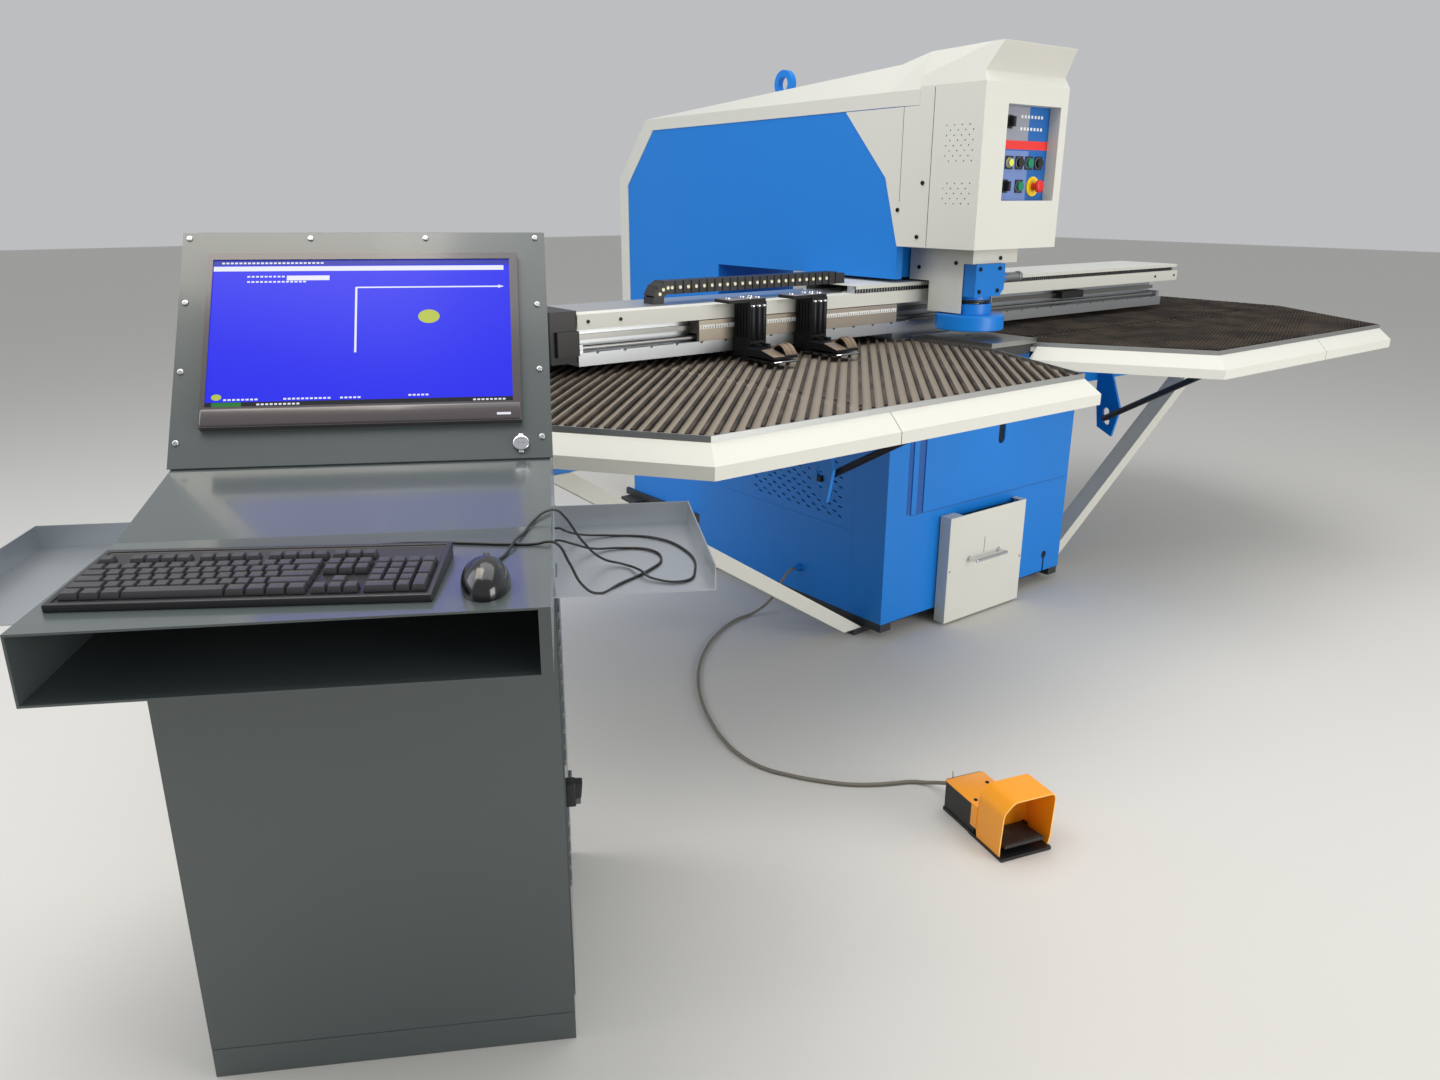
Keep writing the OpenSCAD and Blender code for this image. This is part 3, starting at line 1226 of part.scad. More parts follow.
// Yellow guard: high hood in front, lower lid over the switch body
module pedal_hood() color(YELLOW) at_pedal() {
    hood = [[0, 30], [0, pedal_h - 30], [28, pedal_h], [pedal_w - 14, pedal_h],
            [pedal_w, pedal_h - 16], [pedal_w, 30], [pedal_w - 3, 8], [3, 8]];
    difference() {
        translate([0, hood_d, 0]) rotate([90, 0, 0]) linear_extrude(hood_d) polygon(hood);
        translate([0, hood_d - sheet_p, 0]) rotate([90, 0, 0]) linear_extrude(hood_d)
            offset(delta = -sheet_p) polygon(hood);
        translate([-1, 0, 0]) rotate([90, 0, 90]) linear_extrude(pedal_w + 2)
            polygon([[-1, pedal_h + 1], [-1, 6], [12, 6], [5, 60], [4, pedal_h + 1]]);
        block([3, -1, 0], [pedal_w - 3, hood_d - sheet_p, 12]);
        block([6, hood_d - sheet_p - 1, 0], [pedal_cover_w - 4, hood_d + 1, lid_z]);
    }
    block([-2, hood_d - eps, lid_z], [pedal_cover_w, pedal_l - 8, lid_z + sheet_p]);
    block([-2, hood_d - eps, 30], [1, hood_d + 22, lid_z + sheet_p]);
    block([pedal_cover_w - 3, hood_d - eps, 30], [pedal_cover_w, hood_d + 22, lid_z + sheet_p]);
}

module pedal_cord() color("#8d8f8c") tube(pedal_cord_points, cord_d / 2, 8);

base_frame();
c_frame();
arm_cap();
head_cover();
lifting_eye();
front_cover();
side_cover_left();
side_cover_right();
scrap_drawer();
drawer_handle();
power_unit();
control_plate();
selector_upper();
selector_lower();
button_black_left();
button_green_upper();
button_black_right();
button_green_lower();
e_stop_button();
nose_cover();
ram_housing();
ram_cylinder();
ram_slide();
tool_disc();
punch();
die_holder();
die_disc();
die_plate();
table_left();
table_right();
brush_bed_left();
brush_bed_right();
table_arms();
braces();
tie_rods();
y_rails();
beam_body();
beam_covers();
x_rail();
beam_end_cap();
energy_chain();
carriage_bar();
clamp_left();
clamp_right();
jaw_left();
jaw_right();
console_cabinet();
console_door();
console_desk();
console_panel();
monitor();
console_trays();
keyboard();
mouse();
keyboard_cord();
mouse_cord();
pedal_base();
pedal_hood();
pedal_treadle();
pedal_cord();
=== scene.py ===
import math

import bmesh
import bpy
from mathutils import Matrix, Vector


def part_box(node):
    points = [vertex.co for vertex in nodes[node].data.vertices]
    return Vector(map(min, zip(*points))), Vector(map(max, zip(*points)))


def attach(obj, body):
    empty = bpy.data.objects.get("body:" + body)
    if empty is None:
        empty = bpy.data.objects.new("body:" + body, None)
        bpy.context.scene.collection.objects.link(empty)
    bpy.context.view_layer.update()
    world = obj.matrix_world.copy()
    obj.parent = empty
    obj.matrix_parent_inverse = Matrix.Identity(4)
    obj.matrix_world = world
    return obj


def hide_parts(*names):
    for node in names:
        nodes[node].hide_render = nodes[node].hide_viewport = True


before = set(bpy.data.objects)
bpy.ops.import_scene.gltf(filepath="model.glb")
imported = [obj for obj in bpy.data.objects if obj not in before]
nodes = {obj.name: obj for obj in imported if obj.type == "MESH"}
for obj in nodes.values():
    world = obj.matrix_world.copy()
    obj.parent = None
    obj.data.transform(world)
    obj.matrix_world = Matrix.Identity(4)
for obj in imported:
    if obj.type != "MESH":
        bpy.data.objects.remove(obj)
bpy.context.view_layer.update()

# Camera
# It stands before the console's left side at eye level and looks along the beam, as the
# photographer did. The focal length is that of a phone's main lens on a 36 mm sensor.
EYE = Vector((-2.919, -2.347, 1.425))
YAW, PITCH, ROLL = math.radians(51.89), math.radians(18.27), math.radians(0.23)
camera_data = bpy.data.cameras.new("camera")
camera_data.sensor_width = 36
camera_data.lens = 26.28
camera = bpy.data.objects.new("camera", camera_data)
bpy.context.collection.objects.link(camera)
forward = Vector((math.cos(YAW) * math.cos(PITCH), math.sin(YAW) * math.cos(PITCH), -math.sin(PITCH)))
camera.matrix_world = (
    Matrix.Translation(EYE)
    @ forward.to_track_quat("-Z", "Y").to_matrix().to_4x4()
    @ Matrix.Rotation(ROLL, 4, "Z")
)
bpy.context.scene.camera = camera
bpy.context.scene.view_settings.view_transform = "Standard"

# Cords
# The pedal's grey PVC lead runs over the floor from the gland in the base's left cover to the
# pedal; the keyboard's and the mouse's thin black leads loop over the desk into the tray.


def at(x, y, z):
    """Matrix that moves by x, y and z."""
    return Matrix.Translation((x, y, z))


def turned(degrees, axis):
    """Matrix that turns about an axis."""
    return Matrix.Rotation(math.radians(degrees), 4, axis)


console = at(-2.720, -0.718, 0) @ turned(-29.5, "Z")
pedal = at(-1.180, -1.153, 0) @ turned(-15.8, "Z")
PEDAL_ROUTE = [
    (-0.518, 0.278, 0.148), (-0.532, 0.278, 0.148), (-0.565, 0.284, 0.120), (-0.610, 0.296, 0.050),
    (-0.670, 0.306, 0.012), (-0.774, 0.299, 0.005), (-0.900, 0.240, 0.005), (-1.011, 0.161, 0.005),
    (-1.095, 0.080, 0.005), (-1.163, -0.003, 0.005), (-1.235, -0.115, 0.005), (-1.291, -0.230, 0.005),
    (-1.330, -0.340, 0.005), (-1.347, -0.434, 0.005), (-1.340, -0.520, 0.005), (-1.309, -0.591, 0.005),
    (-1.265, -0.660, 0.005), (-1.218, -0.716, 0.005), (-1.165, -0.757, 0.005), (-1.120, -0.783, 0.005),
    (-1.085, -0.802, 0.005), (-1.062, -0.832, 0.008), (-1.055, -0.868, 0.022),
    pedal @ Vector((0.052, 0.262, 0.040)), pedal @ Vector((0.052, 0.246, 0.040)),
]
KEYBOARD_ROUTE = [
    (330.1, -119.0, 966), (330.5, -113.1, 966), (335, -100, 962), (342, -88, 959), (370, -74, 958.2),
    (430, -72, 958.2), (490, -84, 958.2), (545, -96, 958.2), (585, -100, 958.6), (600, -99, 960.5),
    (611, -97, 957), (628, -90, 925), (645, -80, 887), (665, -66, 867), (705, -20, 864.2),
    (750, 30, 864.2), (775, 80, 864.2), (760, 130, 864.2), (715, 145, 864.2), (665, 135, 869),
    (632, 124, 883), (614, 120, 890), (606, 120, 890),
]
MOUSE_ROUTE = [
    (524, -196, 962), (524, -188, 962), (540, -150, 958.4), (548, -122, 960), (554, -97, 963),
    (559, -72, 960.5), (566, -45, 958.4), (578, 0, 961.3), (598, 28, 967.5), (612, 37, 965.5),
    (624, 46, 952), (650, 60, 907), (680, 68, 874), (712, 60, 866), (737, 16, 869.5),
    (752, -10, 866), (800, -25, 864.2), (822, 20, 864.2), (815, 130, 864.2), (770, 195, 864.2),
    (700, 215, 864.2), (650, 205, 871), (624, 191, 883), (614, 186, 890), (606, 186, 890),
]


def make_cord(name, points, diameter, material, node):
    data = bpy.data.curves.new(name, "CURVE")
    data.dimensions = "3D"
    data.bevel_depth = diameter / 2
    data.bevel_resolution = 3
    data.resolution_u = 8
    spline = data.splines.new("BEZIER")
    spline.bezier_points.add(len(points) - 1)
    for knot, point in zip(spline.bezier_points, points):
        knot.co = point
        knot.handle_left_type = knot.handle_right_type = "AUTO"
    data.use_fill_caps = True
    data.materials.append(material)
    piece = bpy.data.objects.new(name, data)
    bpy.context.collection.objects.link(piece)
    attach(piece, "root")
    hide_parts(node)
    bpy.context.view_layer.update()
    return piece


def linear(hex_colour):
    """Turns an sRGB hex colour such as "2a80d0" into linear RGBA."""
    values = [int(hex_colour[i:i + 2], 16) / 255 for i in (0, 2, 4)]
    return [v / 12.92 if v <= 0.04045 else ((v + 0.055) / 1.055) ** 2.4 for v in values] + [1]


def shader_of(material):
    """The Principled shader of a material."""
    return material.node_tree.nodes["Principled BSDF"]


def new_material(name, colour, roughness, metallic=0.0, **sockets):
    """Makes a material with one Principled shader; sockets name its other inputs with _ for a space."""
    material = bpy.data.materials.new(name)
    material.use_nodes = True
    sockets.update(Base_Color=linear(colour), Roughness=roughness, Metallic=metallic)
    for socket, value in sockets.items():
        shader_of(material).inputs[socket.replace("_", " ")].default_value = value
    return material


# Plasticised PVC sheath, extruded: a soft satin that has picked up floor dust on the grey lead.
grey_sheath = new_material("grey_pvc_sheath", "7a7468", 0.55)
black_sheath = new_material("black_pvc_sheath", "141415", 0.45)
pedal_cord = make_cord("pedal_lead", [Vector(p) for p in PEDAL_ROUTE], 0.010, grey_sheath, "pedal_cord")
for cord_name, route, node in (("keyboard_lead", KEYBOARD_ROUTE, "keyboard_cord"),
                               ("mouse_lead", MOUSE_ROUTE, "mouse_cord")):
    route = [console @ (Vector(p) / 1000) for p in route]
    lead = make_cord(cord_name, route, 0.004, black_sheath, node)

# Floor and light
# A plain pale floor, an even pale surround and four soft panels: one overhead, one at the
# camera's left as the hall's windows give, one low on the right to open the shadows, and a
# small one over the console, whose desk shines in the photo.
floor_paint = new_material("pale_floor", "cfcdc8", 0.75)
bpy.ops.object.select_all(action="DESELECT")
bpy.ops.mesh.primitive_plane_add(size=60, location=(0, 0, -0.001))
floor = bpy.context.object
floor.name = "floor"
floor.data.materials.append(floor_paint)
world = bpy.data.worlds.new("surround")
bpy.context.scene.world = world
world.use_nodes = True
world.node_tree.nodes["Background"].inputs["Color"].default_value = linear("e9ebee")
world.node_tree.nodes["Background"].inputs["Strength"].default_value = 0.62


def add_panel_light(name, place, aim, size, power, colour="ffffff"):
    """Hangs a square soft light at a place, facing the aim."""
    data = bpy.data.lights.new(name, "AREA")
    data.shape = "SQUARE"
    data.size = size
    data.energy = power
    data.color = linear(colour)[:3]
    lamp = bpy.data.objects.new(name, data)
    lamp.matrix_world = (
        Matrix.Translation(place)
        @ (Vector(aim) - Vector(place)).to_track_quat("-Z", "Y").to_matrix().to_4x4()
    )
    bpy.context.collection.objects.link(lamp)


add_panel_light("overhead", (-0.5, -0.5, 4.6), (-0.3, 0, 0.8), 4.5, 118)
add_panel_light("window", (-5.2, 1.8, 3.4), (-0.8, 0, 0.8), 3.5, 84, "f4f8ff")
add_panel_light("fill", (1.0, -5.8, 1.3), (0, -0.2, 0.5), 3.2, 200, "fffcf6")
add_panel_light("desk_lamp", (-2.9, -0.4, 3.2), (-2.5, -0.9, 0.9), 1.5, 36, "fff6e8")

# Blue enamel steelwork
# The C-frame, its base covers, the ram guide, tool disc, table arms and lifting eye are
# welded and folded steel in a bright blue two-coat enamel, sprayed semi-gloss.


def add_node(material, kind, values=None, links=None):
    """Adds a shader node, sets its inputs and settings by name, and joins other outputs to it."""
    node = material.node_tree.nodes.new(kind)
    for name, value in (values or {}).items():
        if isinstance(name, int) or name in node.inputs:
            node.inputs[name].default_value = value
        else:
            setattr(node, name, value)
    for name, output in (links or {}).items():
        material.node_tree.links.new(output, node.inputs[name])
    return node


def dress(material, *names):
    """Gives the CAD nodes of those names a material."""
    for name in names:
        mesh = nodes[name].data
        mesh.materials.clear()
        mesh.materials.append(material)


def add_grain(material, size, depth, detail=3.0):
    """Adds a fine bump of that grain size and depth in metres, read from Object coordinates."""
    place = add_node(material, "ShaderNodeTexCoord")
    noise = add_node(material, "ShaderNodeTexNoise", {"Scale": 1 / size, "Detail": detail},
                     {"Vector": place.outputs["Object"]})
    bump = add_node(material, "ShaderNodeBump", {"Strength": 1.0, "Distance": depth},
                    {"Height": noise.outputs["Fac"]})
    material.node_tree.links.new(bump.outputs["Normal"], shader_of(material).inputs["Normal"])


blue_enamel = new_material("blue_enamel", "0678d2", 0.42, Coat_Weight=0.1, Coat_Roughness=0.15,
                           Specular_IOR_Level=0.35)
add_grain(blue_enamel, 0.004, 0.00004)
dress(blue_enamel, "c_frame", "front_cover", "side_cover_left", "side_cover_right", "ram_housing",
      "tool_disc", "table_arms", "lifting_eye")

# Cream powder coat
# Cap, head cover, nose, drawer, tables, braces and beam covers are folded sheet in a fine
# textured cream powder coat, baked matt-satin.
cream_coat = new_material("cream_powder_coat", "d1d1c9", 0.5)
add_grain(cream_coat, 0.0025, 0.00005)
dress(cream_coat, "arm_cap", "head_cover", "nose_cover", "scrap_drawer", "table_left", "table_right",
      "braces", "beam_covers")

# Bare and dark metal, plastics and console enamel
# The feet, power unit and die holder are painted dark; ram, punch, rails and die plate are
# ground and oiled steel; the beam is anodised and the clamps are blackened. The console has a
# glossy grey-green enamel over folded sheet, and its trays are bare galvanised sheet.
black_paint = new_material("dark_satin_paint", "2a2c2f", 0.5)
dress(black_paint, "base_frame", "power_unit", "ram_cylinder", "die_holder")
ground_steel = new_material("ground_steel", "9a9a98", 0.3, 1.0)
dress(ground_steel, "ram_slide", "punch", "die_disc", "die_plate", "y_rails", "x_rail")
anodised = new_material("anodised_aluminium", "c6cacd", 0.38, 1.0)
dress(anodised, "beam_body")
warm_aluminium = new_material("worn_warm_aluminium", "a79d90", 0.45, 1.0)
dress(warm_aluminium, "carriage_bar")
black_oxide = new_material("black_oxide_steel", "1d1e21", 0.42, 0.6)
dress(black_oxide, "clamp_left", "clamp_right", "jaw_left", "jaw_right", "tie_rods")
black_abs = new_material("black_abs", "18181a", 0.45)
dress(black_abs, "selector_upper", "selector_lower", "button_black_left", "button_black_right",
      "beam_end_cap", "energy_chain", "pedal_base", "pedal_treadle")
green_abs = new_material("green_button_plastic", "14805a", 0.3)
dress(green_abs, "button_green_upper", "button_green_lower")
red_abs = new_material("red_button_plastic", "d8201c", 0.28)
polished_chrome = new_material("polished_chrome", "dcdde0", 0.1, 1.0)
dress(polished_chrome, "drawer_handle")
console_enamel = new_material("console_enamel", "485051", 0.3, Coat_Weight=0.6, Coat_Roughness=0.12)
dress(console_enamel, "console_cabinet", "console_door", "console_desk", "console_panel")
bright_sheet = new_material("galvanised_sheet", "c3c8cc", 0.35, 1.0)
dress(bright_sheet, "console_trays")

# Console panel screws, cam lock and screen
# Zinc-plated pan-head screws with a cross recess hold the sloping panel; the lock is a chromed
# zinc die-casting. The picture is a lit liquid-crystal panel behind the monitor's black bezel.
PANEL_RISE, PANEL_RUN, PANEL_THICK, BEZEL_HEIGHT = 0.355, 0.250, 0.003, 0.014
panel = console @ at(-0.0045, 0.237, 0.999) @ Matrix.Rotation(math.atan2(PANEL_RISE, PANEL_RUN), 4, "X")


def start_block(name, low, high):
    """Adds a block between two corners as the start of a piece, with its place in its mesh."""
    low, high = Vector(low), Vector(high)
    bpy.ops.object.select_all(action="DESELECT")
    bpy.ops.mesh.primitive_cube_add(size=1)
    piece = bpy.context.object
    piece.name = name
    piece.data.transform(Matrix.Translation((low + high) / 2) @ Matrix.Diagonal((high - low).to_4d()))
    return piece


def start_round(name, radius, low, high, sides=24):
    """Adds an upright cylinder about the Z axis as the start of a piece."""
    bpy.ops.object.select_all(action="DESELECT")
    bpy.ops.mesh.primitive_cylinder_add(vertices=sides, radius=radius, depth=high - low,
                                        location=(0, 0, (low + high) / 2))
    piece = bpy.context.object
    piece.name = name
    bpy.ops.object.transform_apply(location=True, rotation=True, scale=True)
    return piece


def modify(piece, kind, **settings):
    """Adds a modifier with its settings and applies it."""
    bpy.context.view_layer.objects.active = piece
    modifier = piece.modifiers.new(kind, kind)
    for name, value in settings.items():
        setattr(modifier, name, value)
    bpy.ops.object.modifier_apply(modifier=modifier.name)


def pick(piece):
    """Makes a piece the only selected one and the active one."""
    bpy.ops.object.select_all(action="DESELECT")
    piece.select_set(True)
    bpy.context.view_layer.objects.active = piece


def edit_faces(piece, chosen, work):
    """Selects the faces that chosen(centre, normal) picks and runs work() on them in edit mode."""
    pick(piece)
    bpy.ops.object.mode_set(mode="EDIT")
    bpy.ops.mesh.select_mode(type="FACE")
    bpy.ops.mesh.select_all(action="DESELECT")
    mesh = bmesh.from_edit_mesh(piece.data)
    for face in mesh.faces:
        face.select_set(bool(chosen(face.calc_center_median(), face.normal)))
    bmesh.update_edit_mesh(piece.data)
    work()
    bpy.ops.object.mode_set(mode="OBJECT")


def looks_up(centre, normal):
    """Picks the faces that look upwards."""
    return normal.z > 0.9


def step_in(thickness, rise):
    """Insets the selected faces and raises them, or sinks them where rise is negative."""
    bpy.ops.mesh.inset(thickness=thickness)
    bpy.ops.mesh.extrude_region_move(TRANSFORM_OT_translate={"value": (0, 0, rise)})


def round_edges(piece, width, segments=2, **settings):
    """Rounds a piece's sharp edges."""
    modify(piece, "BEVEL", width=width, segments=segments, **settings)


def rounded_block(name, low, high, width, segments=2):
    """Adds a block between two corners with its edges rounded."""
    piece = start_block(name, low, high)
    round_edges(piece, width, segments)
    return piece


def cut(piece, cutter):
    """Takes the cutter's shape out of the piece and deletes the cutter."""
    modify(piece, "BOOLEAN", object=cutter, operation="DIFFERENCE", solver="EXACT")
    bpy.data.objects.remove(cutter)


def copy_of(piece, name, place):
    """Copies a piece with a mesh of its own, moved by the place matrix."""
    twin = piece.copy()
    twin.data = piece.data.copy()
    twin.data.transform(place)
    twin.name = name
    bpy.context.collection.objects.link(twin)
    return twin


def join(parts, name):
    """Joins parts into one piece under a name."""
    bpy.ops.object.select_all(action="DESELECT")
    for part in parts:
        part.select_set(True)
    bpy.context.view_layer.objects.active = parts[0]
    if len(parts) > 1:
        bpy.ops.object.join()
    parts[0].name = name
    return parts[0]


def put(piece, material, body, angle=35):
    """Gives a piece its material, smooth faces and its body."""
    if not piece.data.materials:
        piece.data.materials.append(material)
    pick(piece)
    bpy.ops.object.shade_smooth_by_angle(angle=math.radians(angle))
    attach(piece, body)


def set_copies(model, places, name, material, body, slot, angle=35):
    """Sets a copy of the model at each place and joins them to one piece."""
    put(join([copy_of(model, name, place) for place in places], name), material, body, angle)


def use_up(model, places, *finish):
    """Sets copies of the model as set_copies does and deletes the model."""
    set_copies(model, places, *finish)
    bpy.data.objects.remove(model)


def round_end(piece, offset, segments, side=1):
    """Rounds the edges of a round piece's upper end, or of its lower end with side -1."""
    edit_faces(piece, lambda centre, normal: normal.z * side > 0.9,
               lambda: bpy.ops.mesh.bevel(offset=offset, segments=segments, affect="EDGES"))


def pan_screw(radius):
    """Models a pan-head screw with a cross recess, standing on z = 0."""
    head = start_round("head", radius, 0, radius * 0.5)
    round_end(head, radius * 0.3, 3)
    for width, depth in ((radius * 0.2, radius * 1.1), (radius * 1.1, radius * 0.2)):
        cut(head, start_block("recess", (-width / 2, -depth / 2, radius * 0.2),
                              (width / 2, depth / 2, radius)))
    return head


zinc = new_material("zinc_plate", "b9bcbd", 0.3, 1.0)
panel_screws = [(11, 423), (210, 423), (405, 423), (596, 423), (11, 299), (11, 171), (11, 44),
                (596, 289), (596, 164), (596, 38)]
use_up(pan_screw(0.0052), [panel @ at(x / 1000, y / 1000, PANEL_THICK) for x, y in panel_screws],
       "panel_screws", zinc, "root", "chrome")

lock = start_round("panel_lock", 0.0135, 0.003, 0.009, 32)
round_end(lock, 0.0015, 3)
edit_faces(lock, lambda centre, normal: normal.z > 0.99 and abs(centre.x) + abs(centre.y) < 0.002,
           lambda: step_in(0.0035, -0.0015))
cut(lock, start_block("slot", (-0.005, -0.001, 0.004), (0.005, 0.001, 0.02)))
ears = rounded_block("ears", (-0.004, -0.0175, 0.003), (0.004, 0.0175, 0.006), 0.0015, 3)
lock = join([lock, ears], "panel_lock")
lock.data.transform(panel @ at(0.561, 0.026, 0.001))
put(lock, polished_chrome, "root")


def lit_material(name, colour, strength=1.0):
    """Makes a lit screen colour that shows about as written."""
    return new_material(name, "050505", 0.25, Specular_IOR_Level=0.2, Emission_Color=linear(colour),
                        Emission_Strength=strength)


gloss_bezel = new_material("gloss_bezel", "453f41", 0.22, Coat_Weight=0.5, Coat_Roughness=0.1)
dress(gloss_bezel, "monitor")
GLASS_DEPTH, FILM = 0.003, 0.0002
SCREEN_Z = PANEL_THICK + BEZEL_HEIGHT - GLASS_DEPTH
lit_blue = lit_material("lit_blue", "262cf2", 0.95)
lit_navy = lit_material("lit_navy", "2a35b0", 0.9)
lit_white = lit_material("lit_white", "eceefa", 0.95)
lit_lime = lit_material("lit_lime", "bcc850", 0.95)
lit_green = lit_material("lit_green", "2f7d3c", 0.9)
lit_dark = lit_material("lit_dark", "23262c", 0.9)


def screen_field(material, x0, y0, x1, y1, height):
    """Adds a field of one colour, by its corners in millimetres and its height over the glass."""
    field = start_block("field", (x0 / 1000, y0 / 1000, SCREEN_Z + height - FILM),
                        (x1 / 1000, y1 / 1000, SCREEN_Z + height))
    field.data.materials.append(material)
    return field


fields = [screen_field(*row) for row in (
    (lit_blue, 56, 100, 550, 373.2, 0.0004),
    (lit_navy, 56, 363, 550, 373.2, 0.0006),
    (lit_white, 57, 352, 540, 361, 0.0006),
    (lit_white, 176, 334, 246, 343, 0.0006),
    (lit_white, 290, 318, 530, 320.5, 0.0006),
    (lit_white, 289, 196, 292.5, 320, 0.0006),
    (lit_dark, 56, 100, 550, 109, 0.0006),
    (lit_green, 66, 100.5, 112, 108.5, 0.0008))]
for x0, y, x1 in ((112, 341, 170), (112, 331, 205), (84, 113, 140), (178, 113, 250), (268, 113, 300),
                  (378, 115, 412), (70, 367, 232), (136, 104, 204), (484, 104, 540)):
    for x in range(x0, x1, 7):
        fields.append(screen_field(lit_white, x, y - 1.4, x + 4.6, y + 1.6, 0.001))
# The axes' arrow heads are blocks whose far side is drawn together to a point.
for tip in (((530, 316), (530, 322.5), (540, 319.2)), ((285, 198), (296.5, 198), (290.7, 188))):
    arrow = screen_field(lit_white, tip[0][0], tip[0][1], tip[2][0], tip[1][1], 0.0008)
    for vertex in arrow.data.vertices:
        if tip[0][0] == tip[1][0]:
            if vertex.co.x * 1000 > tip[0][0] + 1:
                vertex.co.y = tip[2][1] / 1000
        elif vertex.co.y * 1000 < 196:
            vertex.co.x = tip[2][0] / 1000
    fields.append(arrow)
for x, y, wide, high in ((412, 262, 18, 13), (73, 118, 8, 5.5)):
    disc = start_round("disc", 0.001, 0, FILM, 32)
    disc.data.transform(at(x / 1000, y / 1000, SCREEN_Z + 0.0008) @ Matrix.Diagonal((wide, high, 1, 1)))
    disc.data.materials.append(lit_lime)
    fields.append(disc)
picture = join(fields, "screen_picture")
picture.data.transform(panel)
put(picture, lit_blue, "root")

# Keyboard
# A full-size office keyboard: injection-moulded ABS case with a shallow dish for the keys, and
# dished keycaps with tapered sides on a 19.05 mm pitch, in a slightly greyer black.
PITCH_U, KEY_GAP = 0.01905, 0.0006
CASE_WIDE, CASE_DEEP, CASE_FRONT, CASE_RISE = 0.447, 0.172, 0.010, 0.010
DESK_TOP = 0.956
key_abs = new_material("keycap_abs", "36363a", 0.4)
case_abs = new_material("case_abs", "242427", 0.36)
add_grain(case_abs, 0.0012, 0.00003)
keyboard_place = (console @ at(0.245, -0.200, DESK_TOP) @ turned(-3.5, "Z")
                  @ at(-CASE_WIDE / 2, -CASE_DEEP / 2, 0))
case = start_block("keyboard_case", (0, 0, 0), (CASE_WIDE, CASE_DEEP, CASE_FRONT))
for vertex in case.data.vertices:
    if vertex.co.z > CASE_FRONT / 2:
        vertex.co.z = CASE_FRONT + CASE_RISE * vertex.co.y / CASE_DEEP
case_slope = Matrix.Rotation(math.atan2(CASE_RISE, CASE_DEEP), 4, "X")
edit_faces(case, looks_up, lambda: step_in(0.007, -0.003))
round_edges(case, 0.0015, 3)


def keycap(width, depth=1.0):
    """Models one keycap of that width and depth in key pitches, standing at its front left corner."""
    cap = start_block("cap", (KEY_GAP, KEY_GAP, 0),
                      (width * PITCH_U - KEY_GAP, depth * PITCH_U - KEY_GAP, 0.0085))
    middle_x, middle_y = width * PITCH_U / 2, depth * PITCH_U / 2
    for vertex in cap.data.vertices:
        if vertex.co.z > 0.004:
            vertex.co.x -= 0.0022 * (1 if vertex.co.x > middle_x else -1)
            vertex.co.y -= (0.0010 if vertex.co.y > middle_y else -0.0028)
    edit_faces(cap, looks_up, lambda: (bpy.ops.mesh.inset(thickness=0.0016),
                                       bpy.ops.transform.translate(value=(0, 0, -0.0007))))
    round_edges(cap, 0.0006, angle_limit=math.radians(40))
    return cap


def key_run(start, count):
    """Start and width, in key pitches, of a run of keys one pitch wide."""
    return [(start + i, 1) for i in range(count)]


KEY_ROWS = [
    [(0, 1.25), (1.25, 1.25), (2.5, 1.25), (3.75, 6.25), (10, 1.25), (11.25, 1.25), (12.5, 1.25),
     (13.75, 1.25)] + key_run(15.25, 3) + [(18.5, 2), (20.5, 1)],
    [(0, 2.25)] + key_run(2.25, 10) + [(12.25, 2.75), (16.25, 1)] + key_run(18.5, 3),
    [(0, 1.75)] + key_run(1.75, 11) + [(12.75, 2.25)] + key_run(18.5, 3),
    [(0, 1.5)] + key_run(1.5, 12) + [(13.5, 1.5)] + key_run(15.25, 3) + key_run(18.5, 3),
    key_run(0, 13) + [(13, 2)] + key_run(15.25, 3) + key_run(18.5, 4),
    key_run(0, 1) + key_run(2, 4) + key_run(6.5, 4) + key_run(11, 4) + key_run(15.25, 3),
]
KEYS_FROM = (0.0095, 0.016, 0.0075)
caps, keys = {}, []


def add_key(across, row_y, width, depth=1.0):
    """Sets a keycap on the case at a place given in key pitches."""
    if (width, depth) not in caps:
        caps[width, depth] = keycap(width, depth)
    x, y = KEYS_FROM[0] + across * PITCH_U, KEYS_FROM[1] + row_y * PITCH_U
    lift = KEYS_FROM[2] + CASE_RISE * y / CASE_DEEP
    keys.append(copy_of(caps[width, depth], "key", at(x, y, lift) @ case_slope))


for row, places in enumerate(KEY_ROWS):
    row_y = row if row < 5 else 5.5
    for across, width in places:
        add_key(across, row_y, width)
add_key(21.5, 0, 1, 2.0)
add_key(21.5, 2, 1, 2.0)
for cap in caps.values():
    bpy.data.objects.remove(cap)
keycaps = join(keys, "keycaps")
for piece in (case, keycaps):
    piece.data.transform(keyboard_place)
put(case, case_abs, "root")
put(keycaps, key_abs, "root")
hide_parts("keyboard")

# Mouse
# A moulded glossy ABS shell, high behind and low in front, with a gap between its two buttons,
# a ribbed rubber wheel, and a rubber boot where the lead comes out.
bpy.ops.object.select_all(action="DESELECT")
bpy.ops.mesh.primitive_uv_sphere_add(segments=40, ring_count=24, radius=1)
shell = bpy.context.object
shell.name = "mouse_shell"
HALF_WIDE, HALF_LONG, HIGH, FLAT_FOOT = 0.031, 0.056, 0.036, -0.12
for vertex in shell.data.vertices:
    x, y, z = vertex.co
    front = max(0, y)
    vertex.co = (x * (HALF_WIDE - 0.004 * front), y * HALF_LONG,
                 max(z, FLAT_FOOT) * HIGH * (1 - 0.32 * front))
gloss_abs = new_material("gloss_abs", "0f0f11", 0.18, Coat_Weight=0.4, Coat_Roughness=0.08)
shell.data.transform(at(0, 0, 0.0046))
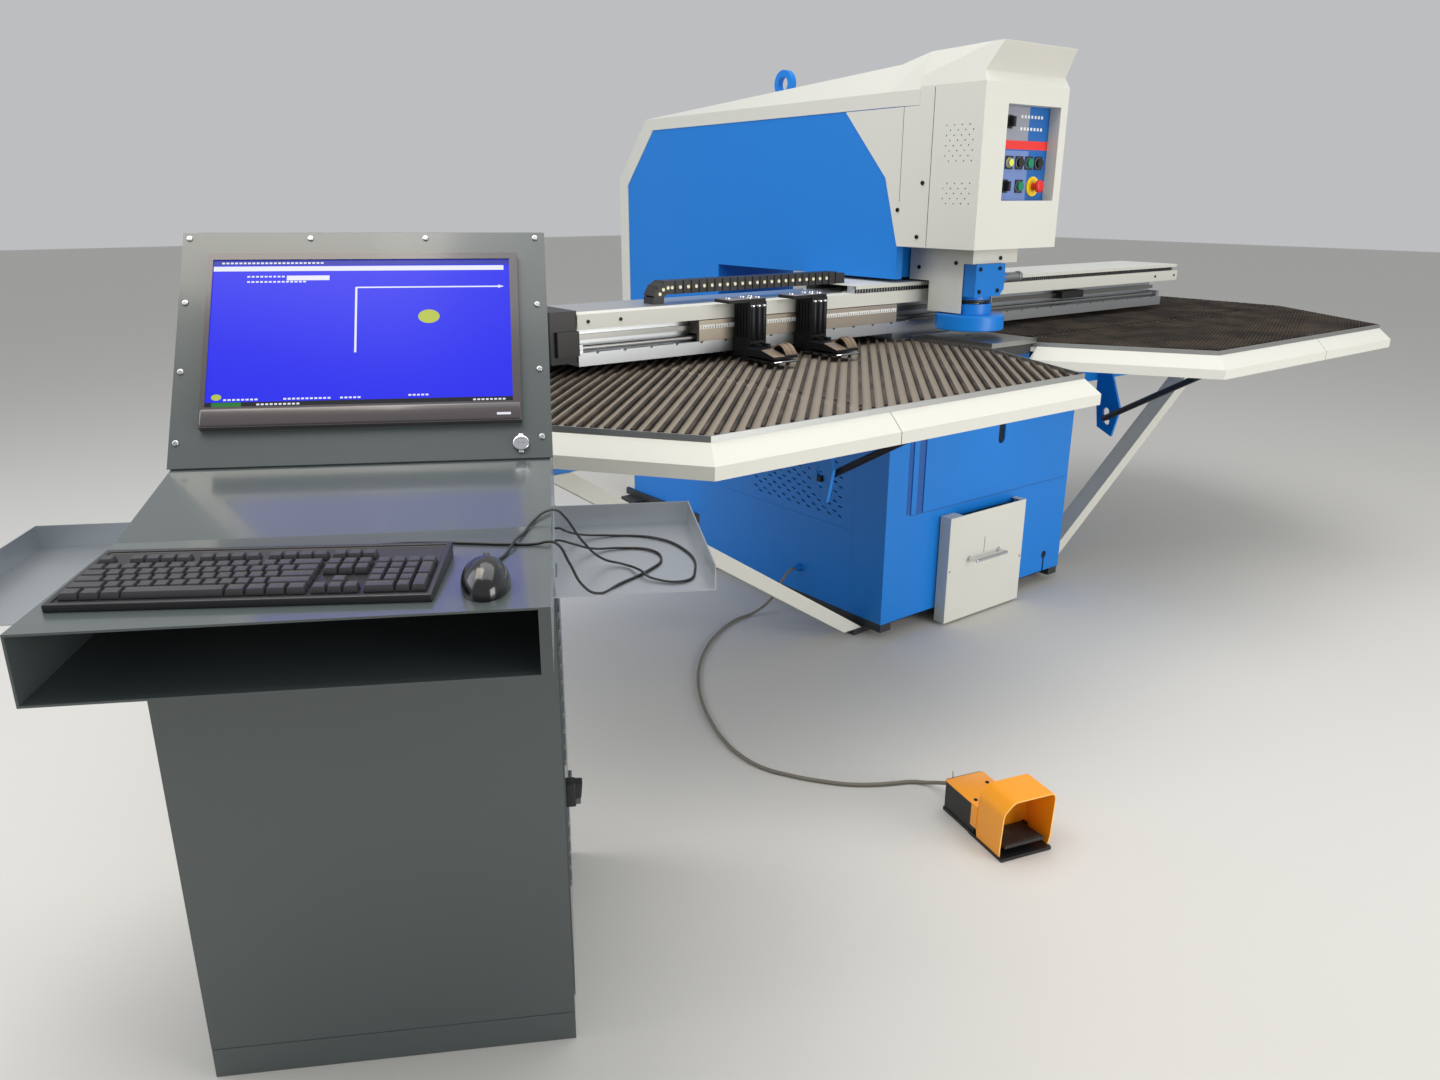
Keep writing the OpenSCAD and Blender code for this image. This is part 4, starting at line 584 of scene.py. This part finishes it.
cut(shell, start_block("button_gap", (-0.0007, 0.006, 0.02), (0.0007, 0.08, 0.06)))
cut(shell, start_block("wheel_gap", (-0.005, 0.020, 0.015), (0.005, 0.044, 0.06)))
wheel = start_round("mouse_wheel", 0.0115, -0.0035, 0.0035, 28)
edit_faces(wheel, lambda centre, normal: abs(normal.z) < 0.1,
           lambda: bpy.ops.mesh.inset(thickness=0.0009, depth=-0.0006, use_individual=True))
wheel.data.transform(at(0, 0.032, 0.0215) @ turned(90, "Y"))
boot = start_round("mouse_boot", 0.0034, 0.044, 0.058, 20)
round_edges(boot, 0.0008)
boot.data.transform(at(0, 0, 0.006) @ turned(-90, "X"))
mouse_place = console @ at(0.524, -0.254, DESK_TOP)
for piece, material in ((shell, gloss_abs), (wheel, black_sheath), (boot, black_sheath)):
    piece.data.transform(mouse_place)
    put(piece, material, "root", 50)
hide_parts("mouse")

# Brush tables
# Nylon bristle tufts stand in slanting rows in moulded grey-brown boards, and let the sheet
# glide. Each table's two boards meet at a seam, and an aluminium strip runs round its field.
DECK_Z, MAT_TOP, BRISTLE_TOP, EDGING_TOP = 0.938, 0.9405, 0.958, 0.952
ROW_PITCH, TUFT_PITCH = 0.030, 0.0125
# The rows follow the ribs of the CAD's brush beds, which start 1.1 times the bed's reach before
# the punch axis.
ROW_START = -1.1 * (2.050 + 0.675 + 0.700) / math.sqrt(2) + 0.005 + 76 * ROW_PITCH
ROWS, STEPS, EDGE_GAP, SEAM_GAP = 78, 188, 0.012, 0.008
tuft_nylon = new_material("bristle_nylon", "2b2420", 0.75)
board_plastic = new_material("brush_board", "8a8072", 0.7)
strip_metal = new_material("aluminium_strip", "a9abab", 0.4, 1.0)
place_node = add_node(tuft_nylon, "ShaderNodeTexCoord")
dust = add_node(tuft_nylon, "ShaderNodeTexNoise", {"Scale": 9.0, "Detail": 4.0},
                {"Vector": place_node.outputs["Object"]})
ramp = add_node(tuft_nylon, "ShaderNodeValToRGB", None, {"Fac": dust.outputs["Fac"]})
for stop, position, shade in zip(ramp.color_ramp.elements, (0.38, 0.70), ("211b16", "4a3f34")):
    stop.position, stop.color = position, linear(shade)
tuft_nylon.node_tree.links.new(ramp.outputs["Color"], shader_of(tuft_nylon).inputs["Base Color"])


def field_outline(side, notch, inset):
    """Corners of a brush field in plan, moved in by inset; side is -1 at the left, 1 at the right."""
    corners = [(0.122, 0.140), (0.122, -0.197), (notch, -0.675), (1.632, -0.675), (2.050, -0.095),
               (2.050, 0.700), (0.215, 0.700), (0.215, 0.140)]
    moved = []
    for i, corner in enumerate(corners):
        here, before, after = (Vector(corners[(i + k) % 8]) for k in (0, -1, 1))
        first, second = (here - before).normalized(), (after - here).normalized()
        inward = (Vector((-first.y, first.x)) + Vector((-second.y, second.x)))
        inward *= inset / (1 + first.dot(second))
        moved.append(here + inward)
    return [Vector((side * p.x, p.y)) for p in moved]


def inside(point, outline):
    """Tells whether a point in plan lies inside a closed outline."""
    within = False
    for a, b in zip(outline, outline[1:] + outline[:1]):
        if (a.y > point.y) != (b.y > point.y):
            if point.x < (b.x - a.x) * (point.y - a.y) / (b.y - a.y) + a.x:
                within = not within
    return within


def start_plate(name, outline, low, high):
    """Fills an outline in plan and raises it to a plate between two heights."""
    data = bpy.data.meshes.new(name)
    count = len(outline)
    edges = [(i, (i + 1) % count) for i in range(count)]
    data.from_pydata([(p.x, p.y, low) for p in outline], edges, [])
    piece = bpy.data.objects.new(name, data)
    bpy.context.collection.objects.link(piece)
    pick(piece)
    bpy.ops.object.mode_set(mode="EDIT")
    bpy.ops.mesh.select_all(action="SELECT")
    bpy.ops.mesh.edge_face_add()
    bpy.ops.mesh.extrude_region_move(TRANSFORM_OT_translate={"value": (0, 0, high - low)})
    bpy.ops.mesh.select_all(action="SELECT")
    bpy.ops.mesh.normals_make_consistent(inside=False)
    bpy.ops.object.mode_set(mode="OBJECT")
    return piece


def tuft_model():
    """Models one tuft: a short trunk and five bristle bundles that splay out and end in points."""
    tuft = start_block("tuft", (-0.0034, -0.0032, MAT_TOP), (0.0034, 0.0032, BRISTLE_TOP - 0.006))
    edit_faces(tuft, looks_up, lambda: (bpy.ops.transform.resize(value=(1.25, 1.4, 1)),
                                        bpy.ops.mesh.poke(offset=0.002)))
    edit_faces(tuft, lambda centre, normal: normal.z < -0.9, lambda: bpy.ops.mesh.delete(type="FACE"))
    bundles = [tuft]
    for x, y in ((1, 1), (-1, 1), (1, -1), (-1, -1), (0, 0)):
        bpy.ops.object.select_all(action="DESELECT")
        bpy.ops.mesh.primitive_cone_add(vertices=4, radius1=0.0021, radius2=0, depth=0.011,
                                        end_fill_type="NOTHING")
        bundle = bpy.context.object
        for vertex in bundle.data.vertices:
            if vertex.co.z > 0:
                vertex.co.x, vertex.co.y = 0.0022 * x, 0.0026 * y
        bundle.data.transform(at(0.0020 * x, 0.0021 * y, BRISTLE_TOP - 0.0055))
        bundle.matrix_world = Matrix()
        bundles.append(bundle)
    return join(bundles, "tuft")


def repeat(piece, count, step):
    """Repeats a piece count times along a straight line, step apart."""
    modify(piece, "ARRAY", count=count, use_relative_offset=False, use_constant_offset=True,
           constant_offset_displace=step)


for side, name, notch, seam, slant, row_x in ((-1, "left", 0.320, ("x", -1.155), 45, -1.93),
                                              (1, "right", 0.415, ("y", -0.085), -45, -0.41)):
    outline = field_outline(side, notch, 0)
    strip = start_plate("edging_" + name, outline, DECK_Z, EDGING_TOP)
    cut(strip, start_plate("hollow", field_outline(side, notch, 0.004), MAT_TOP, EDGING_TOP + 0.01))
    put(strip, strip_metal, "root")
    board = start_plate("brush_board_" + name, field_outline(side, notch, 0.0042), MAT_TOP - 0.002,
                        MAT_TOP + 0.0005)
    put(board, board_plastic, "root")

    tufts = tuft_model()
    repeat(tufts, STEPS, (TUFT_PITCH, 0, 0))
    repeat(tufts, ROWS, (0, ROW_PITCH, 0))
    per_tuft = len(tufts.data.vertices) // (ROWS * STEPS)
    tufts.data.transform(turned(slant, "Z") @ at(row_x, ROW_START, 0))
    limit = field_outline(side, notch, EDGE_GAP)
    kept = []
    for i in range(ROWS * STEPS):
        corner = tufts.data.vertices[i * per_tuft].co
        along = corner.x if seam[0] == "x" else corner.y
        kept.append(inside(corner.xy, limit) and abs(along - seam[1]) > SEAM_GAP)
    for vertex in tufts.data.vertices:
        vertex.select = not kept[vertex.index // per_tuft]
    bpy.context.view_layer.objects.active = tufts
    bpy.ops.object.mode_set(mode="EDIT")
    bpy.ops.mesh.select_mode(type="VERT")
    bpy.ops.mesh.delete(type="VERT")
    mesh = bmesh.from_edit_mesh(tufts.data)
    for vertex in mesh.verts:
        vertex.select_set(vertex.co.z > BRISTLE_TOP - 0.004)
    bmesh.update_edit_mesh(tufts.data)
    bpy.ops.transform.vertex_random(offset=0.0019, uniform=0.5, seed=5)
    bpy.ops.object.mode_set(mode="OBJECT")
    tufts.name = "bristles_" + name
    put(tufts, tuft_nylon, "root", 20)
    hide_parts("brush_bed_" + name)

# Energy chain pins
# Each moulded black nylon link of the drag chain turns on a pale acetal pin, snapped in, whose
# dished end shows on the chain's side: three pins round the bend and 22 along the upper run.
CHAIN_PITCH, CHAIN_FRONT, BEND_RADIUS = 0.030, 0.262, 0.034
BEND_X, BEND_Z = -1.0725, 1.1235
acetal = new_material("pale_acetal", "ddd6b8", 0.4)
pin = start_round("pin", 0.0052, 0, 0.0022, 16)
edit_faces(pin, looks_up, lambda: bpy.ops.mesh.inset(thickness=0.0018, depth=-0.0008))
pin.data.transform(turned(90, "X"))
pin_places = [(BEND_X - BEND_RADIUS * math.cos(math.radians(a)),
               BEND_Z + BEND_RADIUS * math.sin(math.radians(a))) for a in (30, 60, 90)]
pin_places += [(BEND_X + CHAIN_PITCH * (i + 0.5), BEND_Z + BEND_RADIUS) for i in range(22)]
use_up(pin, [at(x, CHAIN_FRONT + 0.0006, z) for x, z in pin_places], "chain_pins", acetal, "beam",
       "black_plastic")

# Ruled strip on the clamp carriage
# A white printed film with black ticks every 10 mm, longer at every fifth, is glued along the
# bar's front, for setting the clamps.
(BAR_X0, BAR_FRONT, _), (BAR_X1, _, _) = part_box("carriage_bar")
RULE_LOW, RULE_HIGH = 1.044, 1.056
white_film = new_material("white_film", "e6e7e4", 0.45)
black_ink = new_material("black_ink", "1a1a1a", 0.5)
rule = rounded_block("carriage_rule", (BAR_X0 + 0.003, BAR_FRONT - 0.0006, RULE_LOW),
                     (BAR_X1 - 0.003, BAR_FRONT + 0.0005, RULE_HIGH), 0.0002, 1)
put(rule, white_film, "carriage")
ticks = []
TICK_PITCH = 0.010
for i in range(int((BAR_X1 - BAR_X0) / TICK_PITCH) - 1):
    x = BAR_X0 + TICK_PITCH * (i + 1)
    high = RULE_HIGH - 0.0015 if i % 5 == 0 else RULE_HIGH - 0.005
    ticks.append(start_block("tick", (x - 0.0011, BAR_FRONT - 0.0009, RULE_LOW + 0.001),
                             (x + 0.0011, BAR_FRONT - 0.0004, high)))
put(join(ticks, "rule_ticks"), black_ink, "carriage")

# Control overlay
# A printed polyester overlay covers the switch plate: blue with a grey field at the left and a
# red band. Each switch stands on a square black holder; lamp and stop collar are yellow.
PLATE_Y = -0.125
overlay_blue = new_material("overlay_blue", "1762ae", 0.35)
overlay_grey = new_material("overlay_grey", "8f93a0", 0.4)
overlay_lilac = new_material("overlay_lilac", "6d86bd", 0.4)
overlay_red = new_material("overlay_red", "e5332e", 0.35)
yellow_abs = new_material("yellow_plastic", "f2cf1d", 0.3)
lamp_glass = new_material("lamp_lens", "f4ee5a", 0.15, Transmission_Weight=0.15)
dress(overlay_blue, "control_plate")


def overlay_field(material, x0, z0, x1, z1, thick):
    """Adds a printed field on the overlay, by its corners in millimetres."""
    piece = start_block("field", (x0 / 1000, PLATE_Y - thick, z0 / 1000),
                        (x1 / 1000, PLATE_Y + 0.0002, z1 / 1000))
    piece.data.materials.append(material)
    return piece


prints = [overlay_field(overlay_lilac, -94, 1406, 76, 1556, 0.0004),
          overlay_field(overlay_grey, -94, 1580, 66, 1687, 0.0004),
          overlay_field(overlay_red, -94, 1560, 171, 1586, 0.0006)]
LAMP, STOP = (-20, 1520), (109, 1449)
RINGED = (LAMP, (30, 1520), (80, 1520), (130, 1520), (38, 1449))
for x, z in (*RINGED[:4], (-38, 1449), RINGED[4], (-38, 1640)):
    prints.append(overlay_field(black_abs, x - 19, z - 20, x + 19, z + 20, 0.0025))
for z in (1658, 1622):
    for x in range(24, 140, 17):
        prints.append(overlay_field(white_film, x, z - 5, x + 9, z + 4, 0.0007))
put(join(prints, "overlay_prints"), overlay_blue, "root")


def on_plate(x, z):
    """Place of a round piece that stands out of the switch plate, in millimetres across and up."""
    return at(x / 1000, PLATE_Y, z / 1000) @ turned(90, "X")


collar = start_round("stop_collar", 0.0305, 0, 0.0046, 48)
edit_faces(collar, looks_up, lambda: step_in(0.004, 0.0012))
cut(collar, start_round("hole", 0.0115, -0.01, 0.02))
collar.data.transform(on_plate(*STOP))
put(collar, yellow_abs, "root")
lens = start_round("lamp_lens", 0.0145, 0, 0.0125, 32)
round_end(lens, 0.005, 4)
lens.data.transform(on_plate(*LAMP))
put(lens, lamp_glass, "root", 60)
ring = start_round("ring", 0.0162, 0, 0.003, 32)
cut(ring, start_round("hole", 0.0143, -0.01, 0.02, 32))
round_edges(ring, 0.0008)
use_up(ring, [on_plate(x, z) for x, z in RINGED], "bezel_rings", zinc, "root", "control_face")
mushroom = start_round("stop_mushroom", 0.020, 0.024, 0.038, 40)
round_end(mushroom, 0.009, 6)
round_end(mushroom, 0.003, 2, -1)
stem = start_round("stem", 0.0108, -0.014, 0.026, 24)
edit_faces(stem, looks_up, lambda: bpy.ops.mesh.inset(thickness=0.001))
mushroom = join([mushroom, stem], "stop_mushroom")
mushroom.data.transform(on_plate(*STOP))
put(mushroom, red_abs, "e_stop", 60)
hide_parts("e_stop_button")

# Screws of the head and the nose
# Black oxide socket screws hold the head's side covers, the nose cover and the hose bracket; each
# is a turned head with a rounded rim and a hexagon socket.
screw_model = start_round("screw_model", 0.0068, 0, 0.0045, 20)
round_end(screw_model, 0.0012, 2)
cut(screw_model, start_round("socket", 0.0034, 0.0018, 0.02, 6))
HEAD_SIDE, NOSE_SIDE = -0.208, -0.080
to_left, to_front = turned(-90, "Y"), turned(90, "X")
screw_places = []
for out, turn in ((1, to_left), (-1, to_left.inverted())):
    screw_places += [at(out * HEAD_SIDE, y, z) @ turn for y, z in
                     ((0.061, 1.458), (0.163, 1.374), (0.073, 1.291))]
    screw_places += [at(out * NOSE_SIDE, y, z) @ turn for y, z in ((0.167, 1.186), (0.007, 1.207))]
screw_places.append(at(0.060, -0.062, 1.222) @ to_front)
set_copies(screw_model, screw_places, "cover_screws", black_oxide, "root", "black_steel")

# Seams of the head cover and the fascias
# Where two folded sheets butt, a dark shadow line up to 2 mm wide shows between them: two on each
# side of the head, and one on each table's front, down its slope and its upright.
shadow = new_material("seam_shadow", "55534c", 0.8)
seams = []
for x in (-0.2081, 0.2081):
    for y0, z0, y1, z1 in ((0.031, 1.262, 0.033, 1.742), (0.1575, 1.400, 0.1590, 1.690)):
        seams.append(rounded_block("seam", (x - 0.0006, y0, z0), (x + 0.0006, y1, z1), 0.0002, 1))
put(join(seams, "head_seams"), shadow, "root")
FASCIA_Y, DECK_EDGE, BEVEL_LOW, FASCIA_LOW = -0.715, -0.675, 0.898, 0.868
lines = []
for x in (-1.101, 1.101):
    line, slope = (start_block("line", (x - 0.0008, FASCIA_Y - 0.0004, low),
                               (x + 0.0008, FASCIA_Y + 0.001, high))
                   for low, high in ((FASCIA_LOW, BEVEL_LOW), (BEVEL_LOW, DECK_Z)))
    for vertex in slope.data.vertices:
        if vertex.co.z > 0.93:
            vertex.co.y += DECK_EDGE - FASCIA_Y
    lines += [line, slope]
put(join(lines, "fascia_seams"), shadow, "root")

# Ram guide details
# Small black socket screws close the blue ram housing; a grey hydraulic fitting with a hex nut
# leaves it at the right, and a black wiper ring seals the ram below.
set_copies(screw_model, [at(x, -0.075, z) @ to_front for x, z in
                         ((-0.055, 1.19), (0.045, 1.19), (-0.055, 1.118), (0.04, 1.118))],
           "ram_screws", black_oxide, "root", "black_steel")
wiper = start_round("wiper_ring", 0.0615, 1.0775, 1.0879, 48)
cut(wiper, start_round("hole", 0.046, 1.0, 1.2, 48))
round_edges(wiper, 0.002)
put(wiper, black_sheath, "root")
grey_fitting = new_material("grey_fitting", "8f9193", 0.4, 0.5)
fitting = start_round("hose_fitting", 0.0138, 0.028, 0.1125, 32)
nut = start_round("nut", 0.0188, 0.001, 0.0292, 6)
round_edges(nut, 0.002)
cap_end = start_round("cap_end", 0.0165, 0.096, 0.1135, 24)
round_edges(cap_end, 0.003)
fitting = join([fitting, nut, cap_end], "hose_fitting")
fitting.data.transform(at(0.075, -0.050, 1.158) @ to_left.inverted())
put(fitting, grey_fitting, "root")

# Clamp screws
# Four polished cap screws in a square and one beside them hold each clamp's grey top plate to
# the column; they stand proud of it, larger than the cover's screws.
CLAMPS = (("left", -0.8775), ("right", -0.6295))
for side, centre in CLAMPS:
    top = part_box("clamp_" + side)[1][2]
    set_copies(screw_model, [at(centre + x, y, top) @ Matrix.Diagonal((1.25, 1.25, 1.4, 1)) for x, y in
                             ((-0.018, 0.098), (0.014, 0.098), (-0.018, 0.132), (0.014, 0.132),
                              (-0.085, 0.115))],
               "clamp_screws_" + side, polished_chrome, "clamp_" + side, "black_steel")

# Clamp columns and jaws
# Each black column has rounded ribs in front under chromed studs, and a grey steel plate on top;
# its jaw carries a tan arched strap with two ribs, over a polished wear strip at the tip.
tan_steel = new_material("tan_zinc_steel", "8b7a68", 0.45, 0.6)
plate_steel = new_material("grey_plate_steel", "8d8a90", 0.4, 0.7)
JAW_TIP_Y, COLUMN_Y, PLATE_TOP = -0.070, 0.076, 1.129
STRAP_TIP, STRAP_LONG, STRAP_WIDE = -0.066, 0.070, 0.041
for side, centre in CLAMPS:
    ribs, studs = [], []
    for across, radius in ((-0.0205, 0.0105), (0.0015, 0.0115), (0.022, 0.009)):
        rib = start_round("rib", radius, 1.008, 1.106, 24)
        round_edges(rib, 0.002, angle_limit=math.radians(60))
        rib.data.transform(at(centre + across, COLUMN_Y + 0.004, 0))
        ribs.append(rib)
        stud = start_round("stud", radius * 0.75, 1.105, 1.1125, 20)
        round_edges(stud, 0.0015, angle_limit=math.radians(60))
        stud.data.transform(at(centre + across, COLUMN_Y + 0.002, 0))
        studs.append(stud)
    put(join(ribs, "column_ribs_" + side), black_oxide, "clamp_" + side)
    put(join(studs, "column_studs_" + side), polished_chrome, "clamp_" + side)
    plate = rounded_block("top_plate_" + side, (centre - 0.1065, COLUMN_Y + 0.005, PLATE_TOP - 0.0002),
                          (centre + 0.0305, 0.149, PLATE_TOP + 0.0018), 0.0008)
    put(plate, plate_steel, "clamp_" + side)
    tip = rounded_block("wear_strip_" + side, (centre - 0.0612, JAW_TIP_Y - 0.0012, 0.9602),
                        (centre + 0.0312, JAW_TIP_Y + 0.010, 0.9655), 0.001)
    put(tip, polished_chrome, "clamp_" + side)
    strap = start_block("strap", (centre - 0.012, STRAP_TIP, 0.9905),
                        (centre + 0.029, STRAP_TIP + STRAP_LONG, 0.9935))
    edit_faces(strap, lambda spot, normal: abs(normal.x) < 0.1,
               lambda: bpy.ops.mesh.subdivide(number_cuts=9))
    straps = [strap]
    for vertex in strap.data.vertices:
        share = (vertex.co.y - STRAP_TIP) / STRAP_LONG
        vertex.co.z += 0.017 * math.sin(math.pi * min(1, share * 1.15)) - 0.010 * (1 - share) ** 3
    for across in (-0.0005, 0.0165):
        rib = copy_of(strap, "rib", at(0, 0, 0.0024))
        for vertex in rib.data.vertices:
            vertex.co.x = centre + across - 0.004 + 0.008 * (vertex.co.x - centre + 0.012) / STRAP_WIDE
        straps.append(rib)
    put(join(straps, "jaw_strap_" + side), tan_steel, "jaw_" + side, 50)
    pad = start_block("jaw_pad_" + side, (centre - 0.0590, JAW_TIP_Y + 0.003, 0.9715),
                      (centre - 0.015, -0.010, 0.9945))
    for vertex in pad.data.vertices:
        if vertex.co.y < -0.04 and vertex.co.z > 0.98:
            vertex.co.z = 0.9800
    round_edges(pad, 0.0025, 3)
    put(pad, tan_steel, "jaw_" + side)

# Pedal guard
# The guard is bent from 3 mm steel sheet in yellow enamel, open to the front and below, with
# rounded top bends; a lid with two screws covers the switch body behind it.
yellow_enamel = new_material("yellow_enamel", "f59f1a", 0.34, Coat_Weight=0.2)
# The guard sheet's cut rims get a paler yellow than its faces.
pale_rim_yellow = new_material("pale_yellow_rim", "ffc66c", 0.4)


def bend(before, corner, after, reach, steps=6):
    """Points of a smooth bend round a corner, starting and ending reach away from it."""
    corner = Vector(corner)
    first = corner + (Vector(before) - corner).normalized() * reach
    last = corner + (Vector(after) - corner).normalized() * reach
    shares = [i / steps for i in range(steps + 1)]
    return [first * (1 - t) ** 2 + corner * 2 * t * (1 - t) + last * t ** 2 for t in shares]


profile = [Vector((0.003, 0.008)), Vector((0.0, 0.030))]
profile += bend((0, 0.030), (0, 0.119), (0.028, 0.146), 0.014)
profile += bend((0, 0.119), (0.028, 0.146), (0.142, 0.146), 0.013)
profile += bend((0, 0.146), (0.142, 0.146), (0.142, 0), 0.017)
profile += [Vector((0.142, 0.030)), Vector((0.139, 0.008))]
guard = start_plate("pedal_guard", profile, 0, 0.096)
edit_faces(guard, lambda spot, normal: normal.z > 0.9 or normal.y < -0.9,
           lambda: bpy.ops.mesh.delete(type="FACE"))
for vertex in guard.data.vertices:
    if vertex.co.z > 0.09:
        low_share = max(0, 1 - vertex.co.y / 0.060)
        vertex.co.z -= 0.004 + 0.008 * low_share
guard.data.materials.append(yellow_enamel)
guard.data.materials.append(pale_rim_yellow)
modify(guard, "SOLIDIFY", thickness=0.003, offset=-1, material_offset_rim=1)
guard.data.transform(at(0, 0.096, 0) @ turned(90, "X"))
lid = start_block("lid", (-0.002, 0.0955, 0.084), (0.106, 0.226, 0.0875))
cheeks = [start_block("cheek", (x, 0.0955, 0.030), (x + 0.003, 0.118, 0.0872)) for x in (-0.002, 0.103)]
for sheet in [lid] + cheeks:
    round_edges(sheet, 0.0012)
    sheet.data.materials.append(yellow_enamel)
guard = join([guard, lid] + cheeks, "pedal_guard")
guard.data.transform(pedal)
put(guard, yellow_enamel, "root")
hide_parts("pedal_hood")
use_up(pan_screw(0.0048), [pedal @ at(x, y, 0.0874) for x, y in ((0.013, 0.123), (0.084, 0.177))],
       "pedal_screws", black_oxide, "root", "black_plastic")
ribs = join([rounded_block("rib", (0.020, y, 0.0045), (0.118, y + 0.0035, 0.0062), 0.0007)
             for y in [-0.072 + i * 0.0075 for i in range(9)]], "treadle_ribs")
ribs.data.transform(pedal @ at(0, 0.084, 0.020) @ turned(-7, "X"))
put(ribs, black_sheath, "treadle")
tie = start_round("cable_tie", 0.0068, 0.0, 0.006, 20)
tail = start_block("tail", (-0.0015, 0.005, 0.0015), (0.0015, 0.034, 0.0045))
tie = join([tie, tail], "cable_tie")
tie.data.transform(pedal @ at(0.052, 0.268, 0.040) @ turned(78, "X"))
cream_nylon = new_material("cream_nylon", "e0d3b4", 0.45)
put(tie, cream_nylon, "root")

# Front cover grooves and openings
# Painted shade: thin dark blue strips lie in the front cover's two grooves beside its raised fields
# and under a field's lower edge; dark sheets of painted shade stand behind the hanging slot and the
# keyhole, and two screws hold the drawer's front.
groove_shade_blue = new_material("blue_in_shade", "1152a0", 0.5)
painted_slot_shade = new_material("painted_slot_shade", "0c1522", 0.9)
GROOVE_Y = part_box("front_cover")[0][1] + 0.004
# Painted shade: two thin dark blue strips in the grooves and one under the raised field's lower edge.
grooves = [start_block("groove", (x0, GROOVE_Y - 0.0008, 0.421), (x1, GROOVE_Y + 0.0002, 0.857))
           for x0, x1 in ((-0.398, -0.3805), (-0.3555, -0.3225))]
grooves.append(start_block("groove", (-0.380, GROOVE_Y - 0.0010, 0.4145),
                           (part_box("front_cover")[1][0] - 0.022, GROOVE_Y + 0.0002, 0.4188)))
put(join(grooves, "painted_groove_shades"), groove_shade_blue, "root")
# Dark sheets of painted shade stand behind the hanging slot and the keyhole, where the base's inside
# lies in shade.
slot_shades = [start_block("lining", (x0, -0.1212, z0), (x1, -0.1195, z1)) for x0, x1, z0, z1 in
           ((0.047, 0.087, 0.597, 0.740), (0.374, 0.414, 0.058, 0.138))]
put(join(slot_shades, "slot_shade_sheets"), painted_slot_shade, "root")
DRAWER_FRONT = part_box("scrap_drawer")[0][1]
use_up(pan_screw(0.0042), [at(x, DRAWER_FRONT, z) @ to_front for x, z in
                           ((-0.215, 0.197), (0.171, 0.176))],
       "drawer_screws", zinc, "drawer", "cream_paint")

# Console latch, door louvres and monitor lip
# A black paddle latch sits on the door. A column of pressed louvres ventilates it near its front
# edge. The monitor's bezel has a lower lip that bulges forward, with a small pale power light.
latch = rounded_block("door_latch", (0.6040, 0.017, 0.458), (0.6225, 0.041, 0.502), 0.003, 3)
paddle = start_block("paddle", (0.6190, 0.018, 0.472), (0.6310, 0.040, 0.5005))
for vertex in paddle.data.vertices:
    if vertex.co.z > 0.49 and vertex.co.x > 0.625:
        vertex.co.x += 0.003
round_edges(paddle, 0.0025, 3)
latch = join([latch, paddle], "door_latch")
latch.data.transform(console)
put(latch, black_abs, "console_door")
louvre = rounded_block("louvre", (-0.0035, 0, -0.006), (0.0035, 0.070, 0.006), 0.0034, 4)
LATCH_LOW, LATCH_HIGH, LOUVRE_START, LOUVRE_PITCH = 0.445, 0.515, 0.306, 0.029
louvre_heights = [LOUVRE_START + LOUVRE_PITCH * i for i in range(20)]
use_up(louvre, [console @ at(0.6063, 0.022, z) for z in louvre_heights
                if not LATCH_LOW < z < LATCH_HIGH],
       "door_louvres", console_enamel, "console_door", "console_paint", 60)
lip = rounded_block("monitor_lip", (0.0485, 0.0645, 0.010), (0.5635, 0.0975, 0.0190), 0.0055, 4)
light = start_block("power_light", (0.523, 0.0735, 0.0165), (0.546, 0.0775, 0.0196))
for piece, material in ((lip, gloss_bezel), (light, lit_white)):
    piece.data.transform(panel)
    put(piece, material, "root")

# Beam trim
# A toothed black duct carries the wiring along the beam under the lid, and black screws hold the
# silver lip and the cream strip.
BEAM_FRONT, BEAM_TOP, DUCT_TOP = 0.155, 1.112, 1.1245
duct = start_block("tooth", (-0.385, BEAM_FRONT + 0.013, BEAM_TOP),
                   (-0.378, BEAM_FRONT + 0.030, DUCT_TOP))
repeat(duct, 150, (0.013, 0, 0))
wall = start_block("wall", (-0.386, BEAM_FRONT + 0.019, BEAM_TOP),
                   (1.558, BEAM_FRONT + 0.030, DUCT_TOP))
put(join([duct, wall], "wiring_duct"), black_abs, "beam")
use_up(screw_model, [at(x, BEAM_FRONT, 1.092) @ to_front @ Matrix.Diagonal((0.75, 0.75, 0.6, 1))
                     for x in (-1.415, -1.310, 1.410, 1.560)],
       "strip_screws", black_oxide, "beam", "black_steel")
